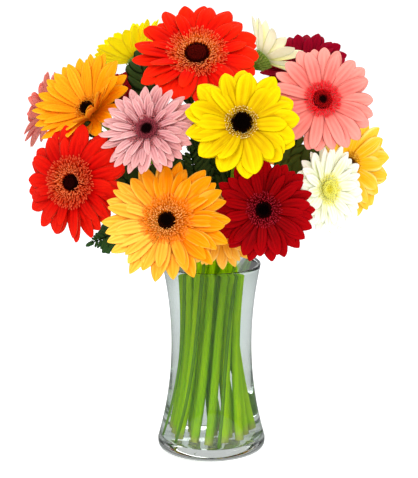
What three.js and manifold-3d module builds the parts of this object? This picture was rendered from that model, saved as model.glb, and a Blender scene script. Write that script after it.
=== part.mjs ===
// Gerberas in a flared glass vase, full of water.
// Millimetres, +Z up. The origin is the centre of the vase's underside, and the front of the
// bouquet looks along -Y. Every bloom is three pieces: its ray petals on their receptacle, its
// disc with the crown of short florets, and its green calyx with the stem.

import * as THREE from 'three';
import { mergeVertices } from 'three/addons/utils/BufferGeometryUtils.js';
import Module from 'manifold-3d';

const wasm = await Module();
wasm.setup();

// Driving dimensions

const GAP = 0.35;

const VASE = {
  height: 192,
  waistHeight: 108,
  waistRadius: 40.7,
  rimRadius: 49.7,
  footRadius: 54.8,
  footHeight: 8,
  wall: 3.3,
  floor: 10,
  floorFillet: 4,
  lip: 1,
  standing: 7,
  sides: 20,
};

const WATER_LEVEL = 190;

const STEM = { footRadius: 3.9, neckRadius: 3.2, sides: 6, stationsInVase: 5, stationsAbove: 4 };

// The stems stand in a spiral bundle: hexagonal slots whose spacing changes with height.
const BUNDLE = {
  tightHeight: 130,
  spacingAtFloor: 15.5,
  spacingTight: 10.2,
  spacingAtRim: 11.4,
  twist: THREE.MathUtils.degToRad(38),
  unevenness: 0.05,
};

// Parts of a bloom, as shares of its radius or in millimetres.
const RECEPTACLE = { top: 1.6, bottom: -4.8 };
const PETAL = {
  thickness: 1.4, rootThickness: 0.8, fullWidth: 0.125, widening: 1.5, upperLength: 0.95, uneven: 0.04,
};
const DISC = {
  eye: 0.15, crown: 0.33, seat: 0.24, core: 0.08, dome: 2.6, edge: 1, crownRise: 2.2, relief: 0.6, sides: 12,
};
const CALYX = { radius: 0.24, length: 17 };
const NECK = { length: 36, share: 0.45, rise: 0.42 };

// Along a petal: how far out, how much of its full width, and how much of the cup, the arch
// and the distance between the two layers it has risen there.
const ARCH = 0.045;
const LAYERS_APART = 2.7;
const STATIONS = [
  { at: 0.17, width: 0, cup: 0, arch: 0, apart: 0 },
  { at: 0.56, width: 1, cup: 0.42, arch: 1, apart: 1 },
  { at: 0.87, width: 0.74, cup: 0.82, arch: 0.55, apart: 1 },
  { at: 1, width: 0, cup: 1, arch: 0, apart: 1 },
];

// Foliage. The first leaf of a frond ends the rib that comes up from the vase, and the others
// branch off that rib, from a share of its way above the rim. via: points that a leaf's rib
// passes. bare: share of that way with no leaflets. reach: length of the longest leaflets.
// notch: how much of it stays between two leaflets. plane: the direction that the blade faces.
const FRONDS = [
  {
    name: 'fern_left',
    slot: [3, 225],
    leaves: [
      { via: [[-52, -34, 216], [-92, -38, 228], [-125, -37, 209]],
        bare: 0.5, pairs: 6, reach: 15, notch: 0.35, plane: [0.1, -0.75, 0.65] },
      { from: 0.2, via: [[-60, -28, 254], [-92, -36, 294], [-108, -36, 330]],
        bare: 0.6, pairs: 3, reach: 11, notch: 0.92, plane: [0.2, -1, 0.2] },
      { from: 0.1, via: [[-40, -18, 262], [-58, -10, 320], [-77, -18, 380]],
        bare: 0.66, pairs: 3, reach: 11, notch: 0.92, plane: [0.2, -1, 0.2] },
    ],
  },
  {
    name: 'fern_middle',
    slot: [3, 255],
    leaves: [
      { via: [[-12, -38, 240], [-15, -50, 280], [-20, -58, 318]],
        bare: 0.42, pairs: 6, reach: 14, notch: 0.25, plane: [0, -1, 0.1] },
      { from: 0.12, via: [[-6, -33, 236], [-4, -34, 262], [-1, -38, 292], [-3, -48, 330], [-11, -54, 366]],
        bare: 0.3, pairs: 4, reach: 11, notch: 0.92, plane: [0, -1, 0.1] },
    ],
  },
  {
    name: 'leaf_right',
    slot: [3, 315],
    leaves: [
      { via: [[48, -38, 240], [76, -40, 280], [104, -38, 314]],
        bare: 0.62, pairs: 3, reach: 13, notch: 0.92, plane: [-0.3, -1, 0.2] },
      { from: 0.15, via: [[52, -28, 236], [66, -32, 270], [82, -32, 322]],
        bare: 0.5, pairs: 3, reach: 14, notch: 0.92, plane: [-0.3, -1, 0.2] },
    ],
  },
  {
    name: 'fern_back',
    slot: [3, 90],
    leaves: [
      { via: [[0, 58, 232], [0, 96, 262], [-2, 128, 268]],
        bare: 0.25, pairs: 9, reach: 24, notch: 0.2, plane: [0, -0.3, 1] },
    ],
  },
];
const RIB = {
  footRadius: 1.6, branchRadius: 1, tipRadius: 0.6, lead: 12, stationsBare: 3, sweep: 0.7, droop: 0.2,
};

// at: centre of the disc. radius: out to the petal tips. facing: degrees to the right of the
// front, then degrees upward. cup: how far the tips stand forward of the disc.
// slot: ring of the bundle (0 to 2) and the direction in it, in degrees.
const BLOOMS = [
  { name: 'orange_front', at: [-42, -124, 262], radius: 61, facing: [-4, 34], cup: 5, petals: 24,
    slot: [2, 240], rays: 0xff9a1a, florets: 0x3a1008 },
  { name: 'yellow_front', at: [27, -116, 350], radius: 53, facing: [4, 28], cup: 5, petals: 18,
    slot: [2, 300], rays: 0xf8dd00, florets: 0x2c1208 },
  { name: 'light_pink', at: [-59, -98, 341], radius: 46, facing: [-12, 34], cup: 3, petals: 24,
    slot: [2, 210], rays: 0xe9a0b0, florets: 0xb04a68 },
  { name: 'crimson_front', at: [48, -96, 266], radius: 50, facing: [3, 11], cup: 5, petals: 22,
    slot: [2, 330], rays: 0xb00418, florets: 0x34060a },
  { name: 'scarlet_left', at: [-131, -76, 288], radius: 55, facing: [-31, 12], cup: -3, petals: 24,
    slot: [2, 180], rays: 0xf02808, florets: 0x4a0e0c },
  { name: 'coral_right', at: [103, -68, 365], radius: 51, facing: [10, 20], cup: 5, petals: 20,
    slot: [1, 240], rays: 0xf88078, florets: 0xb81428 },
  { name: 'scarlet_top', at: [-14, -36, 407], radius: 62, facing: [-2, 49], cup: -1, petals: 24,
    slot: [1, 120], rays: 0xfa3408, florets: 0x4a120c },
  { name: 'white_right', at: [110, -52, 277], radius: 45, facing: [39, 8], cup: 6, petals: 18,
    slot: [1, 0], rays: 0xfbfaf0, florets: 0xd8dc50 },
  { name: 'amber_left', at: [-119, -15, 350], radius: 51, facing: [-38, 39], cup: 19, petals: 18,
    slot: [0, 0], rays: 0xffa41e, florets: 0x38140a },
  { name: 'orange_low', at: [8, -67, 240], radius: 39, facing: [6, 0], cup: 6, petals: 16,
    slot: [2, 270], rays: 0xf8a030, florets: 0x3a1808 },
  { name: 'wine_left', at: [-93, 26, 357], radius: 31, facing: [-30, 56], cup: 6, petals: 16,
    slot: [2, 120], rays: 0x8c0a28, florets: 0x300810 },
  { name: 'cream_top', at: [54, 32, 395], radius: 41, facing: [112, 38], cup: 20, petals: 14,
    slot: [1, 60], rays: 0xf6f0c4, florets: 0xc8cc60 },
  { name: 'plum_top', at: [95, 74, 376], radius: 48, facing: [-10, 40], cup: 3, petals: 18,
    slot: [2, 30], rays: 0x980c3c, florets: 0x340618 },
  { name: 'gold_right', at: [138, 34, 285], radius: 54, facing: [38, 8], cup: 8, petals: 18,
    slot: [2, 0], rays: 0xfcb81c, florets: 0x6a3a10 },
  { name: 'salmon_left', at: [-165, 34, 340], radius: 41, facing: [-105, 15], cup: 8, petals: 16,
    slot: [1, 180], rays: 0xe86458, florets: 0x8c1c20 },
  { name: 'lemon_back', at: [-77, 60, 392], radius: 42, facing: [-134, 50], cup: 18, petals: 16,
    slot: [2, 150], rays: 0xf6e008, florets: 0x9a8a10 },
  { name: 'rose_back', at: [-66, 98, 290], radius: 47, facing: [-150, 22], cup: 6, petals: 18,
    slot: [2, 90], rays: 0xe8788c, florets: 0x8c2038 },
  { name: 'orange_back', at: [34, 106, 298], radius: 45, facing: [154, 20], cup: 6, petals: 18,
    slot: [2, 60], rays: 0xff8c1a, florets: 0x3a1408 },
];

// Small helpers

// Repeatable random numbers between 0 and 1.
function seededRandom(seed) {
  let state = seed;
  return () => {
    state = (state * 1664525 + 1013904223) % 4294967296;
    return state / 4294967296;
  };
}

function material(color, roughness) {
  return new THREE.MeshStandardMaterial({ color, roughness, metalness: 0 });
}

const glass = new THREE.MeshStandardMaterial({
  color: 0xe8efee, roughness: 0.05, metalness: 0, transparent: true, opacity: 0.35,
});
const water = new THREE.MeshStandardMaterial({
  color: 0xdcecec, roughness: 0.02, metalness: 0, transparent: true, opacity: 0.3,
});
const green = material(0x76a832, 0.5);
const leafGreen = material(0x1f4420, 0.45);

// Positions only, with shared vertices merged and collapsed triangles dropped.
function weld(geometry) {
  geometry.deleteAttribute('normal');
  geometry.deleteAttribute('uv');
  const merged = mergeVertices(geometry, 1e-4);
  const corners = Array.from(merged.index.array);
  const kept = [];
  for (let i = 0; i < corners.length; i += 3) {
    const [a, b, c] = corners.slice(i, i + 3);
    if (a !== b && b !== c && c !== a) {
      kept.push(a, b, c);
    }
  }
  merged.setIndex(kept);
  return merged;
}

function toSolid(geometry) {
  const vertProperties = new Float32Array(geometry.attributes.position.array);
  const triVerts = new Uint32Array(geometry.index.array);
  return new wasm.Manifold(new wasm.Mesh({ numProp: 3, vertProperties, triVerts }));
}

function toGeometry(solid) {
  const mesh = solid.getMesh();
  const geometry = new THREE.BufferGeometry();
  geometry.setAttribute('position', new THREE.BufferAttribute(mesh.vertProperties, 3));
  geometry.setIndex(Array.from(mesh.triVerts));
  return geometry;
}

function cut(geometry, cutters) {
  return toGeometry(cutters.reduce((whole, cutter) => whole.subtract(toSolid(cutter)), toSolid(geometry)));
}

function fuse(geometry, additions) {
  return toGeometry(additions.reduce((whole, addition) => whole.add(toSolid(addition)), toSolid(geometry)));
}

// Six times the volume inside a closed surface, negative when its faces point inward.
function signedVolume(positions, index) {
  const corner = (i) => new THREE.Vector3().fromArray(positions, 3 * index[i]);
  let sum = 0;
  for (let i = 0; i < index.length; i += 3) {
    sum += corner(i).dot(corner(i + 1).cross(corner(i + 2)));
  }
  return sum;
}

// A closed surface with its faces pointing out.
function closed(positions, index) {
  if (signedVolume(positions, index) < 0) {
    index.reverse();
  }
  const geometry = new THREE.BufferGeometry();
  geometry.setAttribute('position', new THREE.Float32BufferAttribute(positions, 3));
  geometry.setIndex(index);
  return geometry;
}

// A closed skin over rings of points. Every ring has the same number of points, except that
// the first or last may be a single point. A full end ring gets a flat cap.
function loft(rings) {
  const positions = rings.flat().flatMap((p) => [p.x, p.y, p.z]);
  const starts = [];
  rings.reduce((total, ring) => {
    starts.push(total);
    return total + ring.length;
  }, 0);
  const index = [];
  for (let k = 0; k + 1 < rings.length; k += 1) {
    const sides = Math.max(rings[k].length, rings[k + 1].length);
    const low = (i) => starts[k] + (i % rings[k].length);
    const high = (i) => starts[k + 1] + (i % rings[k + 1].length);
    for (let i = 0; i < sides; i += 1) {
      if (rings[k].length > 1) {
        index.push(low(i), low(i + 1), high(i));
      }
      if (rings[k + 1].length > 1) {
        index.push(low(i + 1), high(i + 1), high(i));
      }
    }
  }
  const last = rings.length - 1;
  for (let i = 1; i + 1 < rings[0].length; i += 1) {
    index.push(starts[0], starts[0] + i + 1, starts[0] + i);
  }
  for (let i = 1; i + 1 < rings[last].length; i += 1) {
    index.push(starts[last], starts[last] + i, starts[last] + i + 1);
  }
  return closed(positions, index);
}

// One ring of a turned shape: angle i steps round, radius and height may depend on i.
function ringAt(sides, radiusOf, heightOf) {
  return Array.from({ length: sides }, (_, i) => {
    const angle = (2 * Math.PI * i) / sides;
    return new THREE.Vector3(radiusOf(i) * Math.cos(angle), radiusOf(i) * Math.sin(angle), heightOf(i));
  });
}

// Rings of a round bar along a route of points with directions. Its section never twists.
function barRings(route, radiusAt, sides) {
  const across = new THREE.Vector3(1, 0, 0);
  across.addScaledVector(route[0].along, -across.dot(route[0].along)).normalize();
  return route.map(({ point, along }, i) => {
    if (i > 0) {
      across.applyQuaternion(new THREE.Quaternion().setFromUnitVectors(route[i - 1].along, along));
    }
    const side = along.clone().cross(across);
    return Array.from({ length: sides }, (_, k) => {
      const angle = (2 * Math.PI * k) / sides;
      return point.clone()
        .addScaledVector(across, radiusAt(i) * Math.cos(angle))
        .addScaledVector(side, radiusAt(i) * Math.sin(angle));
    });
  });
}

// Vase and water

function vaseRadius(z) {
  const above = z > VASE.waistHeight;
  const reach = above ? VASE.height - VASE.waistHeight : VASE.waistHeight - VASE.footHeight;
  const flare = (above ? VASE.rimRadius : VASE.footRadius) - VASE.waistRadius;
  return VASE.waistRadius + flare * ((z - VASE.waistHeight) / reach) ** 2;
}

function heights(from, to, count) {
  return Array.from({ length: count }, (_, i) => THREE.MathUtils.lerp(from, to, i / (count - 1)));
}

function turned(profile) {
  const lathe = new THREE.LatheGeometry(profile.map(([r, z]) => new THREE.Vector2(r, z)), VASE.sides);
  return weld(lathe.rotateX(Math.PI / 2));
}

function vaseFloorRadius() {
  return vaseRadius(VASE.floor) - VASE.wall - VASE.floorFillet;
}

// A thick-walled vase with a heavy floor and a rounded foot and lip.
function vaseGeometry() {
  const shoulder = VASE.height - VASE.lip;
  const outside = heights(VASE.footHeight, shoulder, 9).map((z) => [vaseRadius(z), z]);
  const inside = heights(shoulder, VASE.floor + VASE.floorFillet, 8)
    .map((z) => [vaseRadius(z) - VASE.wall, z]);
  const rim = [[VASE.rimRadius - VASE.wall / 2, VASE.height]];
  const foot = [
    [VASE.footRadius - VASE.standing, 0],
    [VASE.footRadius - 0.25 * VASE.standing, 0.3 * VASE.footHeight],
  ];
  const floor = [[vaseFloorRadius(), VASE.floor], [0, VASE.floor]];
  return turned([[0, 0], ...foot, ...outside, ...rim, ...inside, ...floor]);
}

// The water fills the vase to its level, with a plain hole for each stem that stands in it.
function waterGeometry(stemCutters) {
  const side = heights(VASE.floor + VASE.floorFillet, WATER_LEVEL, 7)
    .map((z) => [vaseRadius(z) - VASE.wall - GAP, z]);
  const bottom = VASE.floor + GAP;
  const body = turned([[0, bottom], [vaseFloorRadius() - GAP, bottom], ...side, [0, WATER_LEVEL]]);
  return cut(body, stemCutters);
}

// Bundle of stems

const bundleRandom = seededRandom(7);

// A slot is a point in the bundle's plan, in units of the spacing: ring 0 is the middle,
// ring 1 the six round it, ring 2 the twelve round those, ring 3 room for thin stems.
function slotInPlan([ring, degrees]) {
  const corner = Math.round(degrees) % 60 === 0;
  const radius = [0, 1, corner ? 2 : Math.sqrt(3), 2.85][ring];
  const angle = THREE.MathUtils.degToRad(degrees);
  const plan = new THREE.Vector2(radius * Math.cos(angle), radius * Math.sin(angle));
  const wander = 2 * Math.PI * bundleRandom();
  plan.x += BUNDLE.unevenness * Math.cos(wander);
  plan.y += BUNDLE.unevenness * Math.sin(wander);
  return plan;
}

function bundlePoint(plan, z) {
  const above = z > BUNDLE.tightHeight;
  const reach = above ? VASE.height - BUNDLE.tightHeight : BUNDLE.tightHeight - VASE.floor;
  const widest = above ? BUNDLE.spacingAtRim : BUNDLE.spacingAtFloor;
  const spread = (widest - BUNDLE.spacingTight) * ((z - BUNDLE.tightHeight) / reach) ** 2;
  const spacing = BUNDLE.spacingTight + spread;
  const turn = (BUNDLE.twist * (z - VASE.height)) / VASE.height;
  const spot = plan.clone().rotateAround(new THREE.Vector2(), turn).multiplyScalar(spacing);
  return new THREE.Vector3(spot.x, spot.y, z);
}

// The way of a stem inside the vase, from its cut end on the floor up to the rim.
function routeInVase(plan) {
  return heights(VASE.floor + GAP, VASE.height, STEM.stationsInVase).map((z) => {
    const along = bundlePoint(plan, z + 1).sub(bundlePoint(plan, z - 1)).normalize();
    return { point: bundlePoint(plan, z), along };
  });
}

// Stations on a curve, without its first point.
function routeOnCurve(curve, count) {
  return Array.from({ length: count }, (_, i) => {
    const t = (i + 1) / count;
    return { point: curve.getPoint(t), along: curve.getTangent(t) };
  });
}

// A stem leaves the rim in the bundle's direction and bends to its head.
function necking(start, end, facing) {
  const length = start.point.distanceTo(end);
  return new THREE.CubicBezierCurve3(
    start.point,
    start.point.clone().addScaledVector(start.along, NECK.rise * length),
    end.clone().addScaledVector(facing, -Math.min(NECK.length, NECK.share * length)),
    end,
  );
}

// Flattens the first ring of a stem so that its cut end stands at a height.
function standing(rings, z) {
  rings[0].forEach((point) => point.setZ(z));
  return rings;
}

function inVaseRadius(foot, top) {
  return (i) => THREE.MathUtils.lerp(foot, top, Math.min(i / (STEM.stationsInVase - 1), 1));
}

// Bloom pieces, in a frame with the disc's centre at the origin and +Z out of the face

// That frame's place in the bouquet. Its +X stays level.
function bloomMatrix(bloom) {
  const azimuth = THREE.MathUtils.degToRad(bloom.facing[0]);
  const elevation = THREE.MathUtils.degToRad(bloom.facing[1]);
  const x = new THREE.Vector3(Math.cos(azimuth), Math.sin(azimuth), 0);
  const level = new THREE.Vector3(Math.sin(azimuth), -Math.cos(azimuth), 0);
  const z = level.multiplyScalar(Math.cos(elevation)).setZ(Math.sin(elevation));
  const y = z.clone().cross(x);
  return new THREE.Matrix4().makeBasis(x, y, z).setPosition(...bloom.at);
}

// How far a petal's middle stands out of the disc's plane at a station, and anywhere along it.
// layer is 1 for the upper petals and -1 for the lower ones.
function stationRise(bloom, layer, station) {
  const apart = (layer * LAYERS_APART) / 2;
  return bloom.cup * station.cup + ARCH * bloom.radius * station.arch + apart * station.apart;
}

function petalRise(bloom, layer, radius) {
  const share = radius / bloom.radius;
  const k = Math.max(1, STATIONS.findIndex((station) => station.at >= share));
  const [before, after] = [STATIONS[k - 1], STATIONS[k]];
  const t = Math.max(0, (share - before.at) / (after.at - before.at));
  const rises = [before, after].map((station) => stationRise(bloom, layer, station));
  return THREE.MathUtils.lerp(...rises, t);
}

// The petals in their two layers, on a receptacle. Upper and lower petals alternate round the
// receptacle's edge, where each is as wide as its share of it. From there they part, widen to
// their belly and narrow over a shoulder to the tip. Each has a flat underside and a low ridge.
function raysGeometry(bloom, random) {
  const half = Math.PI / bloom.petals;
  const positions = [0, 0, RECEPTACLE.top, 0, 0, RECEPTACLE.bottom];
  const index = [];
  const put = (x, y, z, turn) => {
    const cos = Math.cos(turn);
    const sin = Math.sin(turn);
    positions.push(x * cos - y * sin, x * sin + y * cos, z);
    return positions.length / 3 - 1;
  };
  const [root, ...blade] = STATIONS;
  const edge = root.at * bloom.radius;
  const low = -PETAL.thickness / 2;
  const roots = Array.from({ length: bloom.petals }, (_, i) => [
    put(edge, -edge * Math.tan(half), low, 2 * half * i),
    put(edge, 0, low + PETAL.rootThickness, 2 * half * i),
  ]);
  roots.forEach(([left, ridge], i) => {
    const layer = i % 2 ? 1 : -1;
    const right = roots[(i + 1) % roots.length][0];
    const full = bloom.radius * (layer > 0 ? PETAL.upperLength : 1);
    const length = full * (1 - PETAL.uneven * random());
    const room = PETAL.widening * half * STATIONS[1].at * length;
    const belly = Math.min(room, PETAL.fullWidth * bloom.radius);
    index.push(0, left, ridge, 0, ridge, right, 1, right, left);
    let last = [left, ridge, right];
    blade.forEach((station) => {
      const x = station.at * length;
      const z = stationRise(bloom, layer, station) + low;
      const w = station.width * belly;
      const turn = 2 * half * i;
      const sharp = w === 0;
      const tip = sharp ? put(x, 0, z, turn) : null;
      const wide = () => [put(x, -w, z, turn), put(x, 0, z + PETAL.thickness, turn), put(x, w, z, turn)];
      const next = sharp ? [tip, tip, tip] : wide();
      const [a, b, c] = last;
      const [d, e, f] = next;
      index.push(a, e, b, b, e, c, c, f, a);
      if (!sharp) {
        index.push(a, d, e, c, e, f, a, f, d);
      }
      last = next;
    });
  });
  return closed(positions, index);
}

// The disc: a dome of close florets in relief, and round it a crown of short florets. Its
// underside is a shallow cone that stays over the petals.
function discGeometry(bloom) {
  const eye = DISC.eye * bloom.radius;
  const crown = DISC.crown * bloom.radius;
  const inner = DISC.seat * bloom.radius;
  const core = DISC.core * bloom.radius;
  const over = (radius) => petalRise(bloom, 1, radius) + PETAL.thickness / 2 + 2 * GAP;
  const under = (radius) => THREE.MathUtils.lerp(RECEPTACLE.top + GAP, over(inner), radius / inner);
  const odd = (i) => i % 2;
  return loft([
    [new THREE.Vector3(0, 0, under(0) + DISC.dome)],
    ringAt(DISC.sides, () => core, (i) => under(core) + DISC.dome - DISC.relief * odd(i)),
    ringAt(DISC.sides, () => eye, () => under(eye) + DISC.edge),
    ringAt(
      DISC.sides,
      (i) => crown * (1 - 0.2 * odd(i)),
      (i) => over(crown) + DISC.crownRise - 2 * DISC.relief * odd(i),
    ),
    ringAt(DISC.sides, () => inner, () => under(inner)),
    [new THREE.Vector3(0, 0, under(0))],
  ]);
}

// A stem with its calyx: the calyx swells under the receptacle and holds the lower petals.
function stemGeometry(bloom, matrix, plan) {
  const facing = new THREE.Vector3().setFromMatrixColumn(matrix, 2);
  const onAxis = (z) => new THREE.Vector3(0, 0, z).applyMatrix4(matrix);
  const inVase = routeInVase(plan);
  const above = routeOnCurve(necking(inVase.at(-1), onAxis(-CALYX.length), facing), STEM.stationsAbove);
  const wide = CALYX.radius * bloom.radius;
  const top = RECEPTACLE.bottom - GAP;
  const under = petalRise(bloom, -1, 0.86 * wide) - PETAL.thickness / 2 - 1.5 * GAP;
  const swelling = [[top - 6.5, 0.66 * wide], [top - 2.5, 0.9 * wide], [under, wide]];
  const calyx = swelling.map(([z]) => ({ point: onAxis(z), along: facing }));
  const stemRadius = inVaseRadius(STEM.footRadius, STEM.neckRadius);
  const stemCount = inVase.length + above.length;
  const radius = (i) => (i < stemCount ? stemRadius(i) : swelling[i - stemCount][1]);
  const rings = standing(barRings([...inVase, ...above, ...calyx], radius, STEM.sides), VASE.floor + GAP);
  return loft([...rings, [onAxis(top)]]);
}

// The hole that a stem needs in the water, the stem's own shape with a gap all round.
function stemHole(plan) {
  const radius = inVaseRadius(STEM.footRadius + GAP, STEM.neckRadius + GAP);
  return loft(standing(barRings(routeInVase(plan), radius, STEM.sides), VASE.floor - 1));
}

// Foliage: arched blades cut into leaflets down to their ribs, on a thin stem

// A ring of four points: left edge, face, right edge and back. The edges are swept forward.
function leafRing(leaf, { point, along }, halfWidth, halfThickness) {
  const plane = new THREE.Vector3(...leaf.plane);
  const side = plane.cross(along).normalize();
  const face = along.clone().cross(side);
  const beyond = halfWidth - halfThickness;
  const edge = (hand) => point.clone()
    .addScaledVector(side, hand * halfWidth)
    .addScaledVector(along, RIB.sweep * beyond)
    .addScaledVector(face, -RIB.droop * beyond);
  const middle = (hand) => point.clone().addScaledVector(face, hand * halfThickness);
  return [edge(-1), middle(1), edge(1), middle(-1)];
}

function ribInVase(frond, plan, radius, foot) {
  return standing(routeInVase(plan).map((station) => leafRing(frond.leaves[0], station, radius, radius)), foot);
}

function ribCurve(leaf, starts) {
  const stops = leaf.via.map((stop) => new THREE.Vector3(...stop));
  return new THREE.CatmullRomCurve3([...starts, ...stops], false, 'centripetal');
}

// A leaf along its curve, without the curve's start: a bare rib, then the blade up to its tip.
function leafRings(leaf, curve, rootRadius) {
  const stationAt = (u) => ({ point: curve.getPointAt(u), along: curve.getTangentAt(u) });
  const thin = (u) => THREE.MathUtils.lerp(rootRadius, RIB.tipRadius, u);
  const rings = [];
  for (let k = 1; k <= RIB.stationsBare; k += 1) {
    const u = (leaf.bare * k) / (RIB.stationsBare + 1);
    rings.push(leafRing(leaf, stationAt(u), thin(u), thin(u)));
  }
  const steps = 2 * leaf.pairs;
  for (let k = 0; k < steps; k += 1) {
    const share = k / steps;
    const u = THREE.MathUtils.lerp(leaf.bare, 1, share);
    const full = leaf.reach * Math.sin(Math.PI * (0.18 + 0.82 * share));
    const halfWidth = k % 2 ? full : leaf.notch * full;
    rings.push(leafRing(leaf, stationAt(u), Math.max(halfWidth, thin(u)), thin(u)));
  }
  return [...rings, [curve.getPointAt(1)]];
}

function frondGeometry(frond, plan) {
  const [main, ...others] = frond.leaves;
  const rim = routeInVase(plan).at(-1);
  const lead = rim.point.clone().addScaledVector(rim.along, RIB.lead);
  const mainCurve = ribCurve(main, [rim.point, lead]);
  const foot = ribInVase(frond, plan, RIB.footRadius, VASE.floor + GAP);
  const branches = others.map((leaf) => {
    const curve = ribCurve(leaf, [mainCurve.getPointAt(leaf.from)]);
    const root = { point: curve.getPoint(0), along: curve.getTangent(0) };
    const first = leafRing(leaf, root, RIB.branchRadius, RIB.branchRadius);
    return loft([first, ...leafRings(leaf, curve, RIB.branchRadius)]);
  });
  return fuse(loft([...foot, ...leafRings(main, mainCurve, RIB.footRadius)]), branches);
}

function frondHole(frond, plan) {
  return loft(ribInVase(frond, plan, RIB.footRadius + 1.5 * GAP, VASE.floor - 1));
}

// Assembly

const bouquet = new THREE.Group();

function addPiece(name, geometry, look, parent = bouquet) {
  const mesh = new THREE.Mesh(geometry, look);
  mesh.name = name;
  parent.add(mesh);
}

const holes = [];

BLOOMS.forEach((bloom, number) => {
  const random = seededRandom(100 + number);
  const matrix = bloomMatrix(bloom);
  const plan = slotInPlan(bloom.slot);
  const head = new THREE.Group();
  head.applyMatrix4(matrix);
  addPiece(`${bloom.name}_petals`, raysGeometry(bloom, random), material(bloom.rays, 0.6), head);
  addPiece(`${bloom.name}_disc`, discGeometry(bloom), material(bloom.florets, 0.8), head);
  addPiece(`${bloom.name}_stem`, stemGeometry(bloom, matrix, plan), green);
  bouquet.add(head);
  holes.push(stemHole(plan));
});

FRONDS.forEach((frond) => {
  const plan = slotInPlan(frond.slot);
  addPiece(frond.name, frondGeometry(frond, plan), leafGreen);
  holes.push(frondHole(frond, plan));
});

addPiece('vase', vaseGeometry(), glass);
addPiece('water', waterGeometry(holes), water);

export default bouquet;
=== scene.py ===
"""Gerberas in a waisted glass vase full of water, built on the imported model's frame.

Shapes are worked out in millimetres and become metres when their mesh is made. Each bloom has a
frame of its own, with the disc's centre at its origin and +Z out of its face.
"""

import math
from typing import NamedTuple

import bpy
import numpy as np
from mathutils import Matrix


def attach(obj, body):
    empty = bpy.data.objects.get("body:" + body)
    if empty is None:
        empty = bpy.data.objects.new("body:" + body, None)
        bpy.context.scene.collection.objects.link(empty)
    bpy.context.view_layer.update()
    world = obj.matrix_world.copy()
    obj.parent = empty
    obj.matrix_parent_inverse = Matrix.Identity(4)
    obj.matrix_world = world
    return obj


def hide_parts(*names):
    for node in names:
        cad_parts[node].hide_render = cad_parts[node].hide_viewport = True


bl_info = {
    "name": "Gerberas in a Glass Vase",
    "version": (1, 0, 0),
    "blender": (4, 5, 0),
    "location": "View3D > Sidebar > Bouquet",
    "description": "Petals, florets, stems, foliage, vase, water and stage of a gerbera bouquet",
    "category": "Object",
}

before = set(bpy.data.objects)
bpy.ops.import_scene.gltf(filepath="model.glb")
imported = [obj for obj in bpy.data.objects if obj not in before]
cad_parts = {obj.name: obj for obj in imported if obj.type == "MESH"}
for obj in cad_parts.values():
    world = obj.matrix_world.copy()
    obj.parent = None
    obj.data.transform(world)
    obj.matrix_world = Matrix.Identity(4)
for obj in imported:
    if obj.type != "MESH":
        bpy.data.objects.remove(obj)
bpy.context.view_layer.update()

MM = 0.001
BODY = "root"

# The vase and the bundle of stems, with the same driving sizes as the solids

GAP = 0.35
VASE_HEIGHT = 192
WAIST_HEIGHT = 108
WAIST_RADIUS = 40.7
RIM_RADIUS = 49.7
FOOT_RADIUS = 54.8
FOOT_HEIGHT = 8
WALL = 3.3
FLOOR = 10
FLOOR_FILLET = 4
STANDING = 7
WATER_LEVEL = 190
WET_OVERLAP = 0.15

STEM_FOOT_RADIUS = 3.9
STEM_NECK_RADIUS = 3.2
TIGHT_HEIGHT = 130
SPACING_AT_FLOOR = 15.5
SPACING_TIGHT = 10.2
SPACING_AT_RIM = 11.4
TWIST = math.radians(38)
UNEVENNESS = 0.05
RING_RADII = (0, 1, math.sqrt(3), 2.85)
RING_TWO_CORNER = 2
NECK_LENGTH = 36
NECK_SHARE = 0.45
NECK_RISE = 0.42
CALYX_LENGTH = 17
CALYX_RADIUS = 0.24

RIB_FOOT_RADIUS = 1.6
RIB_TIP_RADIUS = 0.6
RIB_LEAD = 12

# Rows of ray petals, outermost first: how many, their length and their width as shares of the
# bloom's radius.
DOUBLE = ((18, 1.0, 0.25), (18, 0.95, 0.24), (11, 0.84, 0.19))
BROAD = ((17, 1.0, 0.31), (15, 0.94, 0.3), (7, 0.8, 0.2))
DENSE = ((17, 1.0, 0.29), (17, 0.94, 0.28), (11, 0.82, 0.2))
SHAGGY = ((16, 1.0, 0.29), (16, 0.94, 0.28), (9, 0.82, 0.22))
WIDE = ((13, 1.0, 0.42), (12, 0.97, 0.4), (6, 0.86, 0.3))
RUFFLED = ((13, 1.0, 0.38), (13, 0.93, 0.36), (10, 0.82, 0.3))
PLENTY = ((16, 1.0, 0.32), (16, 0.95, 0.3), (12, 0.82, 0.24))
FINE = ((21, 1.0, 0.21), (20, 0.95, 0.2), (16, 0.84, 0.17), (11, 0.68, 0.13))
SMOOTH = ((22, 1.0, 0.3), (8, 0.97, 0.26))
SIMPLE = ((16, 1.0, 0.28), (15, 0.95, 0.26), (10, 0.82, 0.2))
SPARSE = ((10, 1.0, 0.3), (8, 0.95, 0.28))
FULL = ((16, 1.0, 0.28), (16, 0.92, 0.26), (14, 0.74, 0.24), (12, 0.5, 0.2))


class Bloom(NamedTuple):
    """at: centre of the disc. facing: degrees to the right of the front, then upward. cup: how far
    the tips stand forward. slot: ring of the bundle and direction in it, in degrees. point: 0 for
    round petal tips to 1 for pointed ones. rim: share across a petal where its edge colour begins.
    eye, fringe: outer radii of the close florets and of the short florets round them. floret:
    distance between those. pupil: share of the eye that is dark. glow: strength of the light that
    its petals and florets give off of their own, painted in to stand for light coming through them
    from behind; it also lifts their shade. streak: how strong their light streaks are. merge: how
    near the fringe's outer florets come to the petals' colour. hues: root, petal, tip, edge and back
    of a petal, the edge being a painted highlight on the scarlet blooms and painted shade on
    coral_right; base and tip of a fringe floret; middle and rim of the eye."""
    name: str
    at: tuple
    radius: float
    facing: tuple
    cup: float
    slot: tuple
    rows: tuple
    point: float
    rim: float
    eye: float
    fringe: float
    floret: float
    pupil: float
    emitted_glow: float
    streak: float
    merge: float
    hues: tuple


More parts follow.
